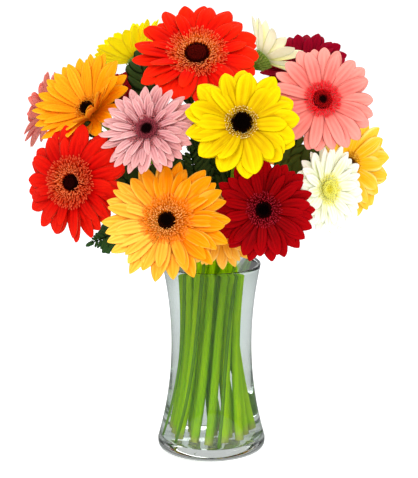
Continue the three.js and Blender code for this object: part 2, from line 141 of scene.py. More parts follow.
BLOOMS = (
    Bloom("orange_front", (-41, -124, 261), 61, (-4, 34), 5, (2, 240), DOUBLE,
          0.7, 0.75, 8, 24, 1.5, 0.6, 0.05, 1.0, 0.9,
          ("ec6800", "f88800", "fc9800", "ffcc50", "ffc060", "e0780c", "ffbc70", "120300", "2c0c00")),
    Bloom("yellow_front", (27, -116, 350), 53, (4, 28), 5, (2, 300), WIDE,
          0.5, 0.8, 10, 15, 1.5, 0.7, 0.05, 0.6, 0.0,
          ("b07800", "e4be00", "f2d000", "fce60c", "f0d01c", "b87c00", "fff0a0", "0c0200", "200800")),
    Bloom("light_pink", (-59, -98, 341), 47, (-12, 34), 3, (2, 210), FINE,
          0.55, 0.65, 11, 20.5, 1.25, 0.4, 0.02, 0.8, 0.2,
          ("701c24", "d88c90", "e4a09c", "f4c4c0", "ecacac", "842430", "dc7c7c", "180204", "a84450")),
    Bloom("crimson_front", (48, -96, 266), 50, (3, 11), 5, (2, 330), DENSE,
          0.6, 0.85, 7.5, 16, 1.5, 0.6, 0.0, 0.6, 0.3,
          ("500003", "980004", "a80006", "b40818", "a81428", "80040a", "c42c40", "0c0001", "280203")),
    Bloom("scarlet_left", (-131, -76, 288), 57, (-25, 12), -8, (2, 180), BROAD,
          0.3, 0.93, 7.8, 23.5, 1.4, 0.6, 0.02, 0.12, 0.75,
          ("980000", "d00200", "e61c08", "fc5c40", "cc281c", "d04808", "ff8c58", "300302", "180000")),
    Bloom("coral_right", (103, -68, 365), 51, (10, 20), 5, (1, 240), SMOOTH,
          0.2, 0.93, 9, 16.5, 1.3, 0.3, 0.03, 0.5, 0.0,
          ("e05c54", "f88c80", "fc9c90", "a01020", "fca090", "f01418", "fc4450", "240204", "c81418")),
    Bloom("scarlet_top", (-14, -36, 403), 62, (-2, 45), 4, (1, 120), BROAD,
          0.2, 0.93, 12, 28.5, 1.5, 0.7, 0.02, 0.12, 0.8,
          ("a00000", "e60200", "fc2606", "ff6c3c", "d83018", "ec6c0c", "ffa068", "5c0a04", "280200")),
    Bloom("white_right", (110, -52, 277), 45, (39, 8), 6, (1, 0), PLENTY,
          0.5, 0.6, 9, 17, 1.5, 0.3, 0.08, 1.0, 0.3,
          ("e0e884", "fafae8", "fffff8", "f4f6d4", "f4f4dc", "f8ec40", "fffcb0", "fcf048", "fffc80")),
    Bloom("amber_left", (-120, -15, 349), 55, (-36, 38), 19, (0, 0), DOUBLE,
          0.65, 0.75, 7, 13, 1.7, 0.6, 0.06, 0.8, 0.5,
          ("e87800", "f89400", "fca008", "ffbc30", "ffac30", "d06800", "ffc050", "120300", "2c0c00")),
    Bloom("orange_low", (8, -67, 240), 39, (6, 0), 6, (2, 270), SIMPLE,
          0.75, 0.65, 7, 11, 1.9, 0.6, 0.05, 1.0, 0.5,
          ("e88c10", "ffa828", "ffbc48", "ffdc88", "ffc860", "d87010", "f8b050", "241000", "4a2008")),
    Bloom("wine_left", (-94, 14, 359), 31, (-30, 56), 6, (2, 120), FULL,
          0.4, 0.8, 3, 5, 1.9, 0.6, 0.0, 0.6, 0.3,
          ("600008", "8c0010", "980014", "a40820", "981018", "680408", "a83040", "180202", "380404")),
    Bloom("cream_top", (54, 32, 395), 41, (112, 38), 20, (1, 60), SPARSE,
          0.8, 0.6, 6, 9, 1.9, 0.5, 0.15, 0.8, 0.3,
          ("d8e08c", "fcf8bc", "fffcd4", "ffffe4", "fffcdc", "b8bc50", "e4e490", "a0a840", "c8cc60")),
    Bloom("plum_top", (95, 74, 376), 48, (-10, 40), 3, (2, 30), SHAGGY,
          0.5, 0.85, 8, 18, 1.9, 0.6, 0.0, 0.6, 0.3,
          ("500010", "840018", "900020", "980028", "880830", "5c0410", "982840", "180204", "380408")),
    Bloom("gold_right", (138, 34, 285), 54, (38, 8), 8, (2, 0), RUFFLED,
          0.6, 0.6, 8, 14, 1.9, 0.6, 0.1, 1.0, 0.3,
          ("f0a400", "fcc020", "ffd040", "fff090", "ffe080", "c88000", "fcc850", "5c3000", "8c5808")),
    Bloom("salmon_left", (-165, 34, 340), 41, (-105, 15), 8, (1, 180), SIMPLE,
          0.4, 0.75, 7, 12, 1.9, 0.6, 0.06, 0.6, 0.2,
          ("d04444", "f07068", "fc847c", "fca498", "fc948c", "a82430", "e87070", "5c0c10", "8c2020")),
    Bloom("lemon_back", (-77, 60, 392), 42, (-134, 50), 18, (2, 150), SIMPLE,
          0.45, 0.75, 7, 11, 1.9, 0.6, 0.22, 0.6, 0.3,
          ("f0c400", "fcdc00", "ffe800", "fff440", "fff010", "a89000", "ece040", "686000", "a09408")),
    Bloom("rose_back", (-66, 98, 290), 47, (-150, 22), 6, (2, 90), DOUBLE,
          0.5, 0.7, 8, 18, 1.9, 0.6, 0.02, 0.8, 0.2,
          ("c04058", "e07084", "e88498", "f0a0ac", "ec98a8", "a02848", "f0a0a8", "4c0410", "8c2030")),
    Bloom("orange_back", (34, 106, 298), 45, (154, 20), 6, (2, 60), DOUBLE,
          0.6, 0.75, 8, 19, 1.9, 0.6, 0.05, 0.8, 0.5,
          ("e86800", "fc8c08", "ff9c18", "ffb440", "ffb050", "c85800", "ffac40", "200a00", "4a1c04")),
)

# Petals on one side of a bloom may fold up over its eye, or be paler. Both hold a direction in the
# bloom's own plane, in degrees from its +X, and how much: millimetres more cup, or a share.
FOLDED = {"amber_left": (-20, 30)}
PALE = {"orange_front": (205, 1.0), "amber_left": (150, 0.4), "light_pink": (200, 0.3)}


class Leaf(NamedTuple):
    """via: points that its rib passes. start: share of the frond's first rib where it branches
    off. bare: share of its way with no leaflets. pairs: pairs of leaflets. reach: length of the
    longest ones. broad: their half width as a share of their length. plane: the direction that the
    leafy stretch faces. fern: saw teeth along the leaflets' edges. olive: how far its green turns
    to olive, or below 0 to a fresh green."""
    via: tuple
    start: float
    bare: float
    pairs: int
    reach: float
    broad: float
    plane: tuple
    fern: bool
    olive: float = 0.0


class Frond(NamedTuple):
    """A rib in a slot of the bundle that ends in the first leaf, with the others branching off."""
    name: str
    slot: tuple
    leaves: tuple


FRONDS = (
    Frond("fern_left", (3, 225), (
        Leaf(((-52, -34, 220), (-84, -38, 232), (-117, -38, 221)), 0, 0.5, 15, 17, 0.22,
             (0.1, -0.75, 0.65), True, -0.7),
        Leaf(((-60, -28, 254), (-92, -36, 294), (-115, -40, 332)), 0.2, 0.3, 10, 21, 0.36,
             (0.2, -1, 0.2), False),
        Leaf(((-40, -18, 262), (-50, -8, 320), (-70, -6, 398)), 0.1, 0.7, 7, 19, 0.36,
             (0.2, -1, 0.2), False),
    )),
    Frond("fern_middle", (3, 255), (
        Leaf(((-12, -38, 240), (-15, -50, 280), (-20, -58, 318)), 0, 0.3, 15, 21, 0.3,
             (0, -1, 0.1), True),
        Leaf(((-6, -33, 236), (-4, -34, 262), (-1, -38, 292), (-6, -48, 330), (-22, -50, 364)),
             0.12, 0.3, 12, 19, 0.38, (0, -1, 0.1), False),
        Leaf(((-20, -40, 238), (-36, -70, 276), (-45, -84, 325)), 0.1, 0.35, 9, 20, 0.38,
             (0, -1, 0.1), False),
        Leaf(((2, -36, 240), (12, -42, 270), (18, -48, 296)), 0.14, 0.3, 6, 17, 0.36,
             (0, -1, 0.1), False),
    )),
    Frond("leaf_right", (3, 315), (
        Leaf(((48, -38, 240), (76, -40, 280), (104, -38, 314)), 0, 0.5, 6, 20, 0.42,
             (-0.3, -1, 0.2), False, 0.8),
        Leaf(((52, -28, 236), (66, -32, 270), (82, -32, 322)), 0.15, 0.4, 7, 20, 0.42,
             (-0.3, -1, 0.2), False, 0.8),
    )),
    Frond("fern_back", (3, 90), (
        Leaf(((0, 58, 232), (0, 96, 262), (-2, 128, 268)), 0, 0.25, 18, 25, 0.2,
             (0, -0.3, 1), True),
    )),
)

# Camera, in metres: it looks along +Y and down a little, from the photo's eye point

CAMERA_AT = (-0.0025, -1.4616, 0.5534)
CAMERA_DOWN = math.radians(13)
CAMERA_LENS = 112.97
SENSOR_WIDTH = 36.0


def linear(code):
    """The linear colour of a six-digit hexadecimal screen colour."""
    shares = [int(code[i:i + 2], 16) / 255 for i in (0, 2, 4)]
    return [s / 12.92 if s <= 0.04045 else ((s + 0.055) / 1.055) ** 2.4 for s in shares]


# Node trees


class Socket:
    """An output socket. Arithmetic on it adds Math nodes to its tree."""

    def __init__(self, tree, output):
        self.tree = tree
        self.output = output

    def maths(self, operation, *values):
        """A Math node on these values or sockets."""
        return self.tree.node("ShaderNodeMath", {"operation": operation}, dict(enumerate(values)))

    def __add__(self, other):
        return self.maths("ADD", self, other)

    def __radd__(self, other):
        return self.maths("ADD", other, self)

    def __sub__(self, other):
        return self.maths("SUBTRACT", self, other)

    def __rsub__(self, other):
        return self.maths("SUBTRACT", other, self)

    def __mul__(self, other):
        return self.maths("MULTIPLY", self, other)

    def __rmul__(self, other):
        return self.maths("MULTIPLY", other, self)

    def __abs__(self):
        return self.maths("ABSOLUTE", self)


class Tree:
    """The node tree of a material or world, emptied."""

    def __init__(self, owner):
        owner.use_nodes = True
        self.tree = owner.node_tree
        self.tree.nodes.clear()

    def node(self, kind, settings=None, sockets=None, output=0):
        """Adds a node: its settings first, then the values or links of its sockets."""
        node = self.tree.nodes.new(kind)
        for key, value in (settings or {}).items():
            if key == "stops":
                set_stops(node.color_ramp, value)
            else:
                setattr(node, key, value)
        for key, value in (sockets or {}).items():
            if isinstance(value, Socket):
                self.tree.links.new(value.output, node.inputs[key])
            else:
                node.inputs[key].default_value = value
        return Socket(self, node.outputs[output]) if node.outputs else None

    def mix(self, share, a, b):
        """Colour a turned into colour b by share."""
        sockets = {0: share, 6: colour(a), 7: colour(b)}
        return self.node("ShaderNodeMix", {"data_type": "RGBA"}, sockets, output=2)

    def smooth(self, value, low, high):
        """0 below low, 1 above high, and an S-curve between them."""
        sockets = {"Value": value, "From Min": low, "From Max": high}
        return self.node("ShaderNodeMapRange", {"interpolation_type": "SMOOTHSTEP"}, sockets)

    def place(self, x, y, z):
        """The place where a pattern is read."""
        return self.node("ShaderNodeCombineXYZ", {}, {0: x, 1: y, 2: z})

    def noise(self, x, y, z):
        """Cloudy noise from 0 to 1, whose clouds are about 1 across."""
        return self.node("ShaderNodeTexNoise", {}, {"Vector": self.place(x, y, z), "Scale": 1.0})

    def mark(self, name):
        """A number that the mesh holds at its points."""
        return self.node("ShaderNodeAttribute", {"attribute_name": name}, output=2)

    def spread(self):
        """How far along and across a blade or stem, both from 0 to 1."""
        uv = self.node("ShaderNodeUVMap", {"uv_map": "spread"})
        along = self.node("ShaderNodeSeparateXYZ", {}, {0: uv}, output=0)
        across = self.node("ShaderNodeSeparateXYZ", {}, {0: uv}, output=1)
        return along, across

    def ray(self, question):
        """An answer about the light path that is being followed."""
        return self.node("ShaderNodeLightPath", output=question)

    def met(self, kind):
        """1 once the light path has met a surface of that kind, 0 before."""
        depth = self.ray(kind + " Depth")
        return self.node("ShaderNodeMath", {"operation": "MINIMUM"}, {0: depth, 1: 1.0})

    def finish(self, sockets, bump=None, strength=0.3, depth=0.0003, lamps=None):
        """A Principled shader with these sockets, and a bump from a height. lamps is the tint of
        lamp light that a clear body lets through in place of a shadow."""
        if bump is not None:
            heights = {"Height": bump, "Strength": strength, "Distance": depth}
            sockets = {**sockets, "Normal": self.node("ShaderNodeBump", {}, heights)}
        shader = self.node("ShaderNodeBsdfPrincipled", {}, sockets)
        if lamps is not None:
            shadow = self.ray("Is Shadow Ray")
            clear = self.node("ShaderNodeBsdfTransparent", {}, {"Color": colour(lamps)})
            shader = self.node("ShaderNodeMixShader", {}, {0: shadow, 1: shader, 2: clear})
        self.node("ShaderNodeOutputMaterial", {}, {"Surface": shader})


def colour(value):
    """A plain colour gets its fourth number. A socket stays as it is."""
    return value if isinstance(value, Socket) else (*value[:3], 1.0)


def set_stops(ramp, stops):
    """Gives a colour ramp its stops, each a position and a colour."""
    while len(ramp.elements) < len(stops):
        ramp.elements.new(1.0)
    for element, (position, rgb) in zip(ramp.elements, stops):
        element.position = position
        element.color = colour(rgb)


# Materials

GROOVE_WAVES = 3
GLASS_IOR = 1.42
WATER_IOR = 1.33

# Heights between which painted shade turns a stem a deeper green above the water, where it stands in
# shadow, in metres
PAINTED_SHADE_FROM = 0.2
PAINTED_SHADE_FULL = 0.25


def petal_material(hues, settings):
    """Velvety petal: deeper at the root, in its own root colour and in painted shade where it runs in
    under the florets; painted shade in its two grooves, so that the ridges between read as painted
    highlights; an edge colour that is its own on most blooms, a painted highlight on the scarlet
    ones and painted shade in the gaps between coral_right's petals; paler on the back, with fine
    long streaks, and giving off painted light of its own. Each petal has a tone of its own."""
    material = bpy.data.materials.new(hues.name + "_petals")
    tree = Tree(material)
    along, across = tree.spread()
    tone = tree.mark("tone")
    under = tree.mark("under")
    stops = [(0.0, hues.root), (0.4, hues.petal), (1.0, hues.tip)]
    base = tree.node("ShaderNodeValToRGB", {"stops": stops}, {0: along})
    side = abs(across * 2 - 1)
    streaks = tree.noise(along * 1.4, across * 14, tone * 31)
    patches = tree.noise(along * 2.2, across * 1.5, tone * 17)
    waves = across * (2 * math.pi * GROOVE_WAVES)
    grooves = 0.5 + 0.5 * tree.node("ShaderNodeMath", {"operation": "COSINE"}, {0: waves})
    # Painted shade down the two grooves, away from the edges. The pale side is kept less pale in the
    # grooves, so the ridges between them read as painted highlights. The darkening below mixes this
    # painted shade with the petal's own streaks and tone.
    groove_shade = grooves * tree.smooth(side, 0.85, 0.6)
    dark = tree.smooth(streaks, 0.42, 0.8) * 0.35 + groove_shade * 0.35 + tree.smooth(tone, 0.45, 1.0) * 0.3
    base = tree.mix(dark * tree.smooth(along, 1.1, 0.5), base, hues.root)
    light = (tree.smooth(streaks, 0.5, 0.2) + tree.smooth(patches, 0.5, 0.75)) * 0.3 * hues.streak
    base = tree.mix(light + tree.mark("pale") * 0.7 * (1 - 0.45 * groove_shade), base, hues.edge)
    # The edge colour: the petal's own paler edge on most blooms, a painted highlight along the rims of
    # the scarlet blooms, and painted shade in the gaps between coral_right's petals.
    edge = tree.smooth(side, hues.rim, 0.5 + 0.5 * hues.rim) * tree.smooth(along, 0.3, 0.8)
    base = tree.mix(edge * tree.smooth(tone, 1.0, 0.3) * 0.7, base, hues.edge)
    base = tree.mix(under * 0.8, base, hues.back)
    # Painted shade at the root, where the petal runs in under the florets: half its root colour.
    base = tree.mix(tree.smooth(along, 0.3, 0.0) * 0.45, base, [c * 0.5 for c in hues.root])
    tree.finish({
        "Base Color": base,
        "Roughness": 0.48 + streaks * 0.15,
        "Specular IOR Level": 0.03,
        "Subsurface Weight": settings.petal_glow,
        "Subsurface Radius": (1.0, 0.6, 0.4),
        "Subsurface Scale": 0.003,
        # Painted glow: the petal gives off its own colour as light, standing in for light through it
        # and lifting its shade.
        "Emission Color": base,
        "Emission Strength": hues.emitted_glow,
    }, bump=streaks, strength=0.5, depth=settings.vein_depth)
    return material


def floret_material(hues):
    """Florets of the eye, dark in the middle, and of the fringe, each bright at its tip, with painted
    shade down at the feet of the eye's buds and of the fringe's florets, where they crowd together.
    The outer ones of the fringe come near to the petals' colour. They give off painted light of
    their own."""
    material = bpy.data.materials.new(hues.name + "_florets")
    tree = Tree(material)
    along, across = tree.spread()
    fringe = tree.mark("fringe")
    tone = tree.mark("tone")
    eye = tree.mix(tree.smooth(fringe, 0.0, 0.25), hues.eye, hues.eye_rim)
    # Painted shade at the feet of the eye's buds, down between them: a quarter of the eye's colour.
    eye = tree.mix(tree.smooth(along, 0.7, 0.2) * 0.7, eye, [c * 0.25 for c in hues.eye])
    foot = tree.mix(tree.smooth(fringe, 0.75, 1.0) * hues.merge, hues.fringe, hues.petal)
    top = tree.mix(tree.smooth(fringe, 0.7, 0.9) * hues.merge * 0.8, hues.fringe_tip, hues.petal)
    outer = tree.mix(tree.smooth(along, 0.5, 0.9), foot, top)
    outer = tree.mix(tone * 0.5, outer, foot)
    # Painted shade at the feet of the fringe's florets, down near the eye.
    outer = tree.mix(tree.smooth(along, 0.35, 0.05) * 0.4, outer, [c * 0.4 for c in hues.fringe])
    base = tree.mix(tree.smooth(fringe, 0.52, 0.68), eye, outer)
    grain = tree.noise(along * 3, across * 5, tone * 17)
    tree.finish({
        "Base Color": base,
        "Roughness": 0.6 + grain * 0.2,
        "Specular IOR Level": 0.04,
        # Painted glow: the florets give off their own colour as light.
        "Emission Color": base,
        "Emission Strength": hues.emitted_glow,
    }, bump=grain, strength=0.3, depth=0.0002)
    return material


def stem_material():
    """Downy green stem with long streaks, paler at its cut end and towards the tips of the bracts,
    and a deeper green above the water: painted shade where the stems stand in shadow."""
    material = bpy.data.materials.new("gerbera_stem")
    tree = Tree(material)
    along, across = tree.spread()
    bract = tree.mark("bract")
    tone = tree.mark("tone")
    streaks = tree.noise(along * 5, across * 26, tone * 23)
    patches = tree.noise(along * 9, across * 2, tone * 11)
    base = tree.mix(tree.smooth(streaks, 0.3, 0.75), linear("92cc00"), linear("bcec00"))
    base = tree.mix(tree.smooth(patches, 0.35, 0.8) * 0.5, base, linear("d0f000"))
    base = tree.mix(tree.smooth(tone, 0.3, 1.0) * 0.4, base, linear("5c9c00"))
    base = tree.mix(tree.smooth(along, 0.035, 0.0), base, linear("c8d068"))
    where = tree.node("ShaderNodeTexCoord", output="Object")
    height = tree.node("ShaderNodeSeparateXYZ", {}, {0: where}, output=2)
    # Painted shade: above the water the stem turns a deeper green, where it stands in shadow.
    shade_above_water = tree.smooth(height, PAINTED_SHADE_FROM, PAINTED_SHADE_FULL)
    base = tree.mix(shade_above_water * 0.75, base, linear("6c9418"))
    leafy = tree.mix(tree.smooth(along, 0.1, 1.0), linear("5c8420"), linear("8ca448"))
    base = tree.mix(bract, base, leafy)
    tree.finish({
        "Base Color": base,
        "Roughness": 0.42 + streaks * 0.2,
        "Specular IOR Level": 0.02,
        "Subsurface Weight": 0.1,
        "Subsurface Radius": (0.6, 1.0, 0.2),
        "Subsurface Scale": 0.003,
    }, bump=streaks, strength=0.35, depth=0.0003)
    return material


def leaf_material():
    """Dark glossy leaf with a paler rib and back, and side veins."""
    material = bpy.data.materials.new("fern_leaf")
    tree = Tree(material)
    along, across = tree.spread()
    under = tree.mark("under")
    tone = tree.mark("tone")
    side = abs(across * 2 - 1)
    where = tree.place(along - side * 0.2, 0.0, 0.0)
    veins = tree.node(
        "ShaderNodeTexWave", {"bands_direction": "X", "wave_profile": "SAW"},
        {"Vector": where, "Scale": 4.0, "Distortion": 0.6}, output=1,
    )
    speckle = tree.noise(along * 9, across * 6, tone * 43.5)
    base = tree.mix(tree.smooth(speckle, 0.3, 0.75), linear("031006"), linear("0a300e"))
    base = tree.mix(tone * 0.4, base, linear("020802"))
    olive = tree.mark("olive")
    base = tree.mix(tree.smooth(olive, 0.0, 0.9) * (0.5 + 0.5 * tone), base, linear("56601c"))
    base = tree.mix(tree.smooth(olive, 0.0, -1.0), base, linear("08542c"))
    base = tree.mix(tree.smooth(side, 0.16, 0.0) * 0.4, base, linear("48682c"))
    base = tree.mix(under * 0.5, base, linear("48602c"))
    base = tree.mix(tree.mark("bract"), base, linear("6c9c20"))
    tree.finish({
        "Base Color": base,
        "Roughness": 0.32 + speckle * 0.2,
        "Specular IOR Level": 0.06,
    }, bump=veins * 0.5 + speckle, strength=0.4, depth=0.0004)
    return material


def glass_material(settings):
    """Clear polished glass."""
    material = bpy.data.materials.new("vase_glass")
    Tree(material).finish({
        "Base Color": colour(settings.glass_tint),
        "Roughness": 0.0,
        "IOR": GLASS_IOR,
        "Transmission Weight": 1.0,
    }, lamps=(0.95, 0.96, 0.96))
    return material


def water_material():
    """Clear still water."""
    material = bpy.data.materials.new("vase_water")
    Tree(material).finish({
        "Base Color": (0.985, 0.995, 0.99, 1.0),
        "Roughness": 0.0,
        "IOR": WATER_IOR,
        "Transmission Weight": 1.0,
    }, lamps=(0.98, 0.99, 0.99))
    return material


# Meshes


class Skin:
    """Collects surfaces into one mesh: places in millimetres, faces by their number of corners,
    a spread from 0 to 1 along and across, and marks at the points."""

    def __init__(self):
        self.places = []
        self.faces = {3: [], 4: []}
        self.spread = []
        self.marks = {}
        self.count = 0

    def add(self, places, triangles, quads, spread, **marks):
        """Adds a surface. A mark is one number, or one for each place."""
        self.places.append(places)
        self.faces[3].append(triangles + self.count)
        self.faces[4].append(quads + self.count)
        self.spread.append(spread)
        for key, values in marks.items():
            self.marks.setdefault(key, []).append(np.broadcast_to(values, len(places)))
        self.count += len(places)

    def make(self, name, material, nodes):
        """The finished piece, riding on the frame and standing for its nodes."""
        mesh = bpy.data.meshes.new(name)
        places = np.concatenate(self.places) * MM
        faces = [np.concatenate(found) for found in self.faces.values() if found]
        corners = np.concatenate([f.ravel() for f in faces]).astype(np.int32)
        sizes = np.concatenate([np.full(len(f), f.shape[1]) for f in faces])
        starts = (np.cumsum(sizes) - sizes).astype(np.int32)
        mesh.vertices.add(len(places))
        mesh.vertices.foreach_set("co", places.astype(np.float32).ravel())
        mesh.loops.add(len(corners))
        mesh.loops.foreach_set("vertex_index", corners)
        mesh.polygons.add(len(sizes))
        mesh.polygons.foreach_set("loop_start", starts)
        mesh.polygons.foreach_set("use_smooth", np.ones(len(sizes), bool))
        mesh.update(calc_edges=True)
        layer = mesh.uv_layers.new(name="spread")
        spread = np.concatenate(self.spread)[corners]
        layer.uv.foreach_set("vector", spread.astype(np.float32).ravel())
        for key, values in self.marks.items():
            attribute = mesh.attributes.new(key, "FLOAT", "POINT")
            attribute.data.foreach_set("value", np.concatenate(values).astype(np.float32))
        mesh.materials.append(material)
        piece = bpy.data.objects.new(name, mesh)
        bpy.context.scene.collection.objects.link(piece)
        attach(piece, BODY)
        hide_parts(*nodes)


def ring_faces(copies, rings, points):
    """Faces of closed tubes, copies of them, each with rings of points and a pole at either end:
    a tube's points come first, ring by ring, then its first pole and its last."""
    size = rings * points + 2
    ring, point = np.meshgrid(np.arange(rings - 1), np.arange(points), indexing="ij")
    after = (point + 1) % points
    quads = np.stack([
        ring * points + point, (ring + 1) * points + point,
        (ring + 1) * points + after, ring * points + after,
    ], axis=-1).reshape(-1, 4)
    around = np.arange(points)
    onward = (around + 1) % points
    last = (rings - 1) * points
    first_cap = np.stack([np.full(points, size - 2), around, onward], axis=-1)
    last_cap = np.stack([np.full(points, size - 1), last + onward, last + around], axis=-1)
    triangles = np.concatenate([first_cap, last_cap])
    shift = (np.arange(copies) * size)[:, None, None]
    return (triangles[None] + shift).reshape(-1, 3), (quads[None] + shift).reshape(-1, 4)


def unit(vectors):
    """The same directions with a length of 1."""
    return vectors / np.maximum(np.linalg.norm(vectors, axis=-1, keepdims=True), 1e-9)


def section(top_points, bottom_points):
    """Places across a blade, from -1 to 1 over the top and back underneath, and the side: 1 above,
    -1 below."""
    over = np.linspace(-1, 1, top_points)
    back = np.linspace(1, -1, bottom_points + 2)[1:-1]
    hand = np.concatenate([np.ones(top_points), -np.ones(bottom_points)])
    return np.concatenate([over, back]), hand


POLE_REACH = 0.3
SLENDER = 0.8


def add_blades(skin, centre, side, stations, half_width, thickness, shape, bow=0.0, ripple=0.0,
               **marks):
    """Closed thin blades. centre and side are (blades, stations, 3); half_width is (blades,
    stations). Across a blade at v from -1 to 1, its middle surface stands at
    width * (-bow * v^2 + ripple * cos(3 pi v)), and its skin half the thickness times
    sqrt(1 - v^2) above and below that, less where the blade is narrow. Both ends close to a
    point."""
    v, hand = shape
    blades, rings, points = *centre.shape[:2], len(v)
    along = unit(np.gradient(centre, axis=1))
    up = unit(np.cross(along, side))
    side = unit(np.cross(up, along))
    bow = np.reshape(bow, (-1, 1, 1))
    middle = half_width[..., None] * (ripple * np.cos(GROOVE_WAVES * np.pi * v) - bow * v ** 2)
    skin_height = np.minimum(thickness / 2, SLENDER * half_width)[..., None]
    lift = middle + hand * skin_height * np.sqrt(1 - v ** 2)
    body = (
        centre[:, :, None]
        + side[:, :, None] * (half_width[..., None] * v)[..., None]
        + up[:, :, None] * lift[..., None]
    )
    poles = np.stack([
        centre[:, 0] - along[:, 0] * half_width[:, :1] * POLE_REACH,
        centre[:, -1] + along[:, -1] * half_width[:, -1:] * POLE_REACH,
    ], axis=1)
    places = np.concatenate([body.reshape(blades, -1, 3), poles], axis=1).reshape(-1, 3)
    u = np.broadcast_to(stations[:, None], (rings, points)).ravel()
    across = np.broadcast_to((v + 1) / 2, (rings, points)).ravel()
    below = np.broadcast_to(hand < 0, (rings, points)).ravel()
    u = np.append(u, (stations[0], stations[-1]))
    spread = np.stack([u, np.append(across, (0.5, 0.5))], axis=-1)
    under = np.tile(np.append(below, (0, 0)), blades)
    size = rings * points + 2
    each = {key: np.repeat(np.broadcast_to(value, blades), size) for key, value in marks.items()}
    triangles, quads = ring_faces(blades, rings, points)
    skin.add(places, triangles, quads, np.tile(spread, (blades, 1)), under=under, **each)


def bloom_frame(bloom):
    """Columns: the bloom's level +X, its +Y, and +Z along its facing."""
    azimuth, elevation = np.radians(bloom.facing)
    x = np.array([math.cos(azimuth), math.sin(azimuth), 0])
    level = np.array([math.sin(azimuth), -math.cos(azimuth), 0])
    z = level * math.cos(elevation) + np.array([0, 0, math.sin(elevation)])
    return np.stack([x, np.cross(z, x), z], axis=1)


def in_bouquet(bloom, vectors, moved=True):
    """Vectors of the bloom's frame in the bouquet's, moved to the bloom if they are places."""
    return vectors @ bloom_frame(bloom).T + (np.array(bloom.at) if moved else 0)


def turned_out(radial, lateral, height, turn):
    """Points at a distance out, to the left and up, turned about +Z by turn."""
    cos, sin = np.cos(turn), np.sin(turn)
    return np.stack([radial * cos - lateral * sin, radial * sin + lateral * cos, height], axis=-1)


def add_round(skin, bloom, middle, turn, twist, *blade, **marks):
    """Blades round a bloom's axis, each at its turn. middle says how far out, to the left and up
    their middle lines run, and twist how far they are turned about those. The rest is as for
    add_blades."""
    centre = turned_out(*middle, turn[:, None])
    side = turned_out(0 * twist, np.cos(twist), np.sin(twist), turn[:, None])
    side = in_bouquet(bloom, side, moved=False)
    add_blades(skin, in_bouquet(bloom, centre), side, *blade, **marks)


# Petals

PETAL_SEED = 1000
PETAL_STATIONS = np.array([0.0, 0.1, 0.22, 0.35, 0.48, 0.6, 0.71, 0.8, 0.875, 0.935, 0.975, 0.995])
PETAL_SECTION = section(13, 5)
PETAL_THICKNESS = 0.45
PETAL_ROOT = 0.13
PETAL_BELLY = 0.62
PETAL_BOW = 0.1
PETAL_RIPPLE = 0.045
ROW_HEIGHTS = (-2.0, -0.6, 0.8, 1.8)
ROW_LIFT = 1.4
SHINGLE = 0.13
PALE_ROUND = 0.25

# How far one petal differs from the next: its turn as a share of the step between two; its wave,
# curl and arch as shares of the bloom's radius; its sway as a share of its length; its twist in
# radians; and how much shorter, wider or more bowed it is.
TURN_SPREAD = 0.2
WAVE_SPREAD = 0.025
CURL = -0.01
CURL_SPREAD = 0.03
ARCH = 0.05
ARCH_SPREAD = 0.02
SWAY_SPREAD = 0.03
TWIST_SPREAD = 0.2
SHORTER = 0.06
SHORTER_BY_ROW = 0.04
WIDTH_SPREAD = 0.1
BOW_SPREAD = 0.08


def petal_width(s, point):
    """Half of a petal's width, as a share of its widest: from 0.5 at the root it swells along a
    quarter sine to the belly, then closes along a curve that is rounder where point is small."""
    swell = 0.5 + 0.5 * np.sin(np.clip(s / PETAL_BELLY, 0, 1) * np.pi / 2)
    beyond = np.clip((s - PETAL_BELLY) / (1 - PETAL_BELLY), 0, 1)
    power = 2.9 - 1.2 * point
    close = np.maximum(1 - beyond ** power, 0) ** (0.5 + 0.35 * point)
    return swell * close


def add_ray_row(skin, bloom, number, rng):
    """One row of petals. A petal's middle line runs outward; its height is the row's height plus
    cup * s^1.3 plus an arch sin(pi s^1.4), it waves with s^2 and its tip curls with s^4. It bends
    sideways with s^2. All lean to one side, so that each lies on the next, and twist a little
    with s. The cup of the inner rows is deeper on the folded side."""
    count, reach, width = bloom.rows[number]
    s = PETAL_STATIONS
    uneven = rng.uniform(-TURN_SPREAD, TURN_SPREAD, count)
    turn = 2 * np.pi / count * (np.arange(count) + 0.5 * number + uneven)
    length = bloom.radius * reach * (1 - (SHORTER + SHORTER_BY_ROW * number) * rng.random(count))
    root = PETAL_ROOT * bloom.radius
    radial = root + (length - root)[:, None] * s
    wave = rng.normal(0, WAVE_SPREAD, count)[:, None] * bloom.radius
    curl = rng.normal(CURL, CURL_SPREAD, count)[:, None] * bloom.radius
    fold_at, fold = FOLDED.get(bloom.name, (0, 0))
    near_fold = np.maximum(np.cos(turn - math.radians(fold_at)), 0)[:, None] ** 2
    cup = bloom.cup + ROW_LIFT * number + fold * min(number, 1) * near_fold
    pale_at, pale = PALE.get(bloom.name, (0, 0))
    near_pale = np.maximum(np.cos(turn - math.radians(pale_at)) + PALE_ROUND, 0)
    paleness = pale * near_pale * rng.uniform(0.5, 1, count)
    arch = (ARCH + ARCH_SPREAD * rng.random(count))[:, None] * bloom.radius
    height = (
        ROW_HEIGHTS[number] + cup * reach * s ** 1.3 + arch * np.sin(np.pi * s ** 1.4)
        + wave * s ** 2 + curl * s ** 4
    )
    lateral = (rng.normal(0, SWAY_SPREAD, count) * length)[:, None] * s ** 2
    twist = SHINGLE + rng.normal(0, TWIST_SPREAD, count)[:, None] * s
    half = bloom.radius * width / 2 * (1 + WIDTH_SPREAD * rng.uniform(-1, 1, count))[:, None]
    add_round(
        skin, bloom, (radial, lateral, height), turn, twist, s,
        half * petal_width(s, bloom.point), PETAL_THICKNESS, PETAL_SECTION,
        bow=rng.normal(PETAL_BOW, BOW_SPREAD, count), ripple=PETAL_RIPPLE,
        tone=rng.random(count), pale=paleness,
    )


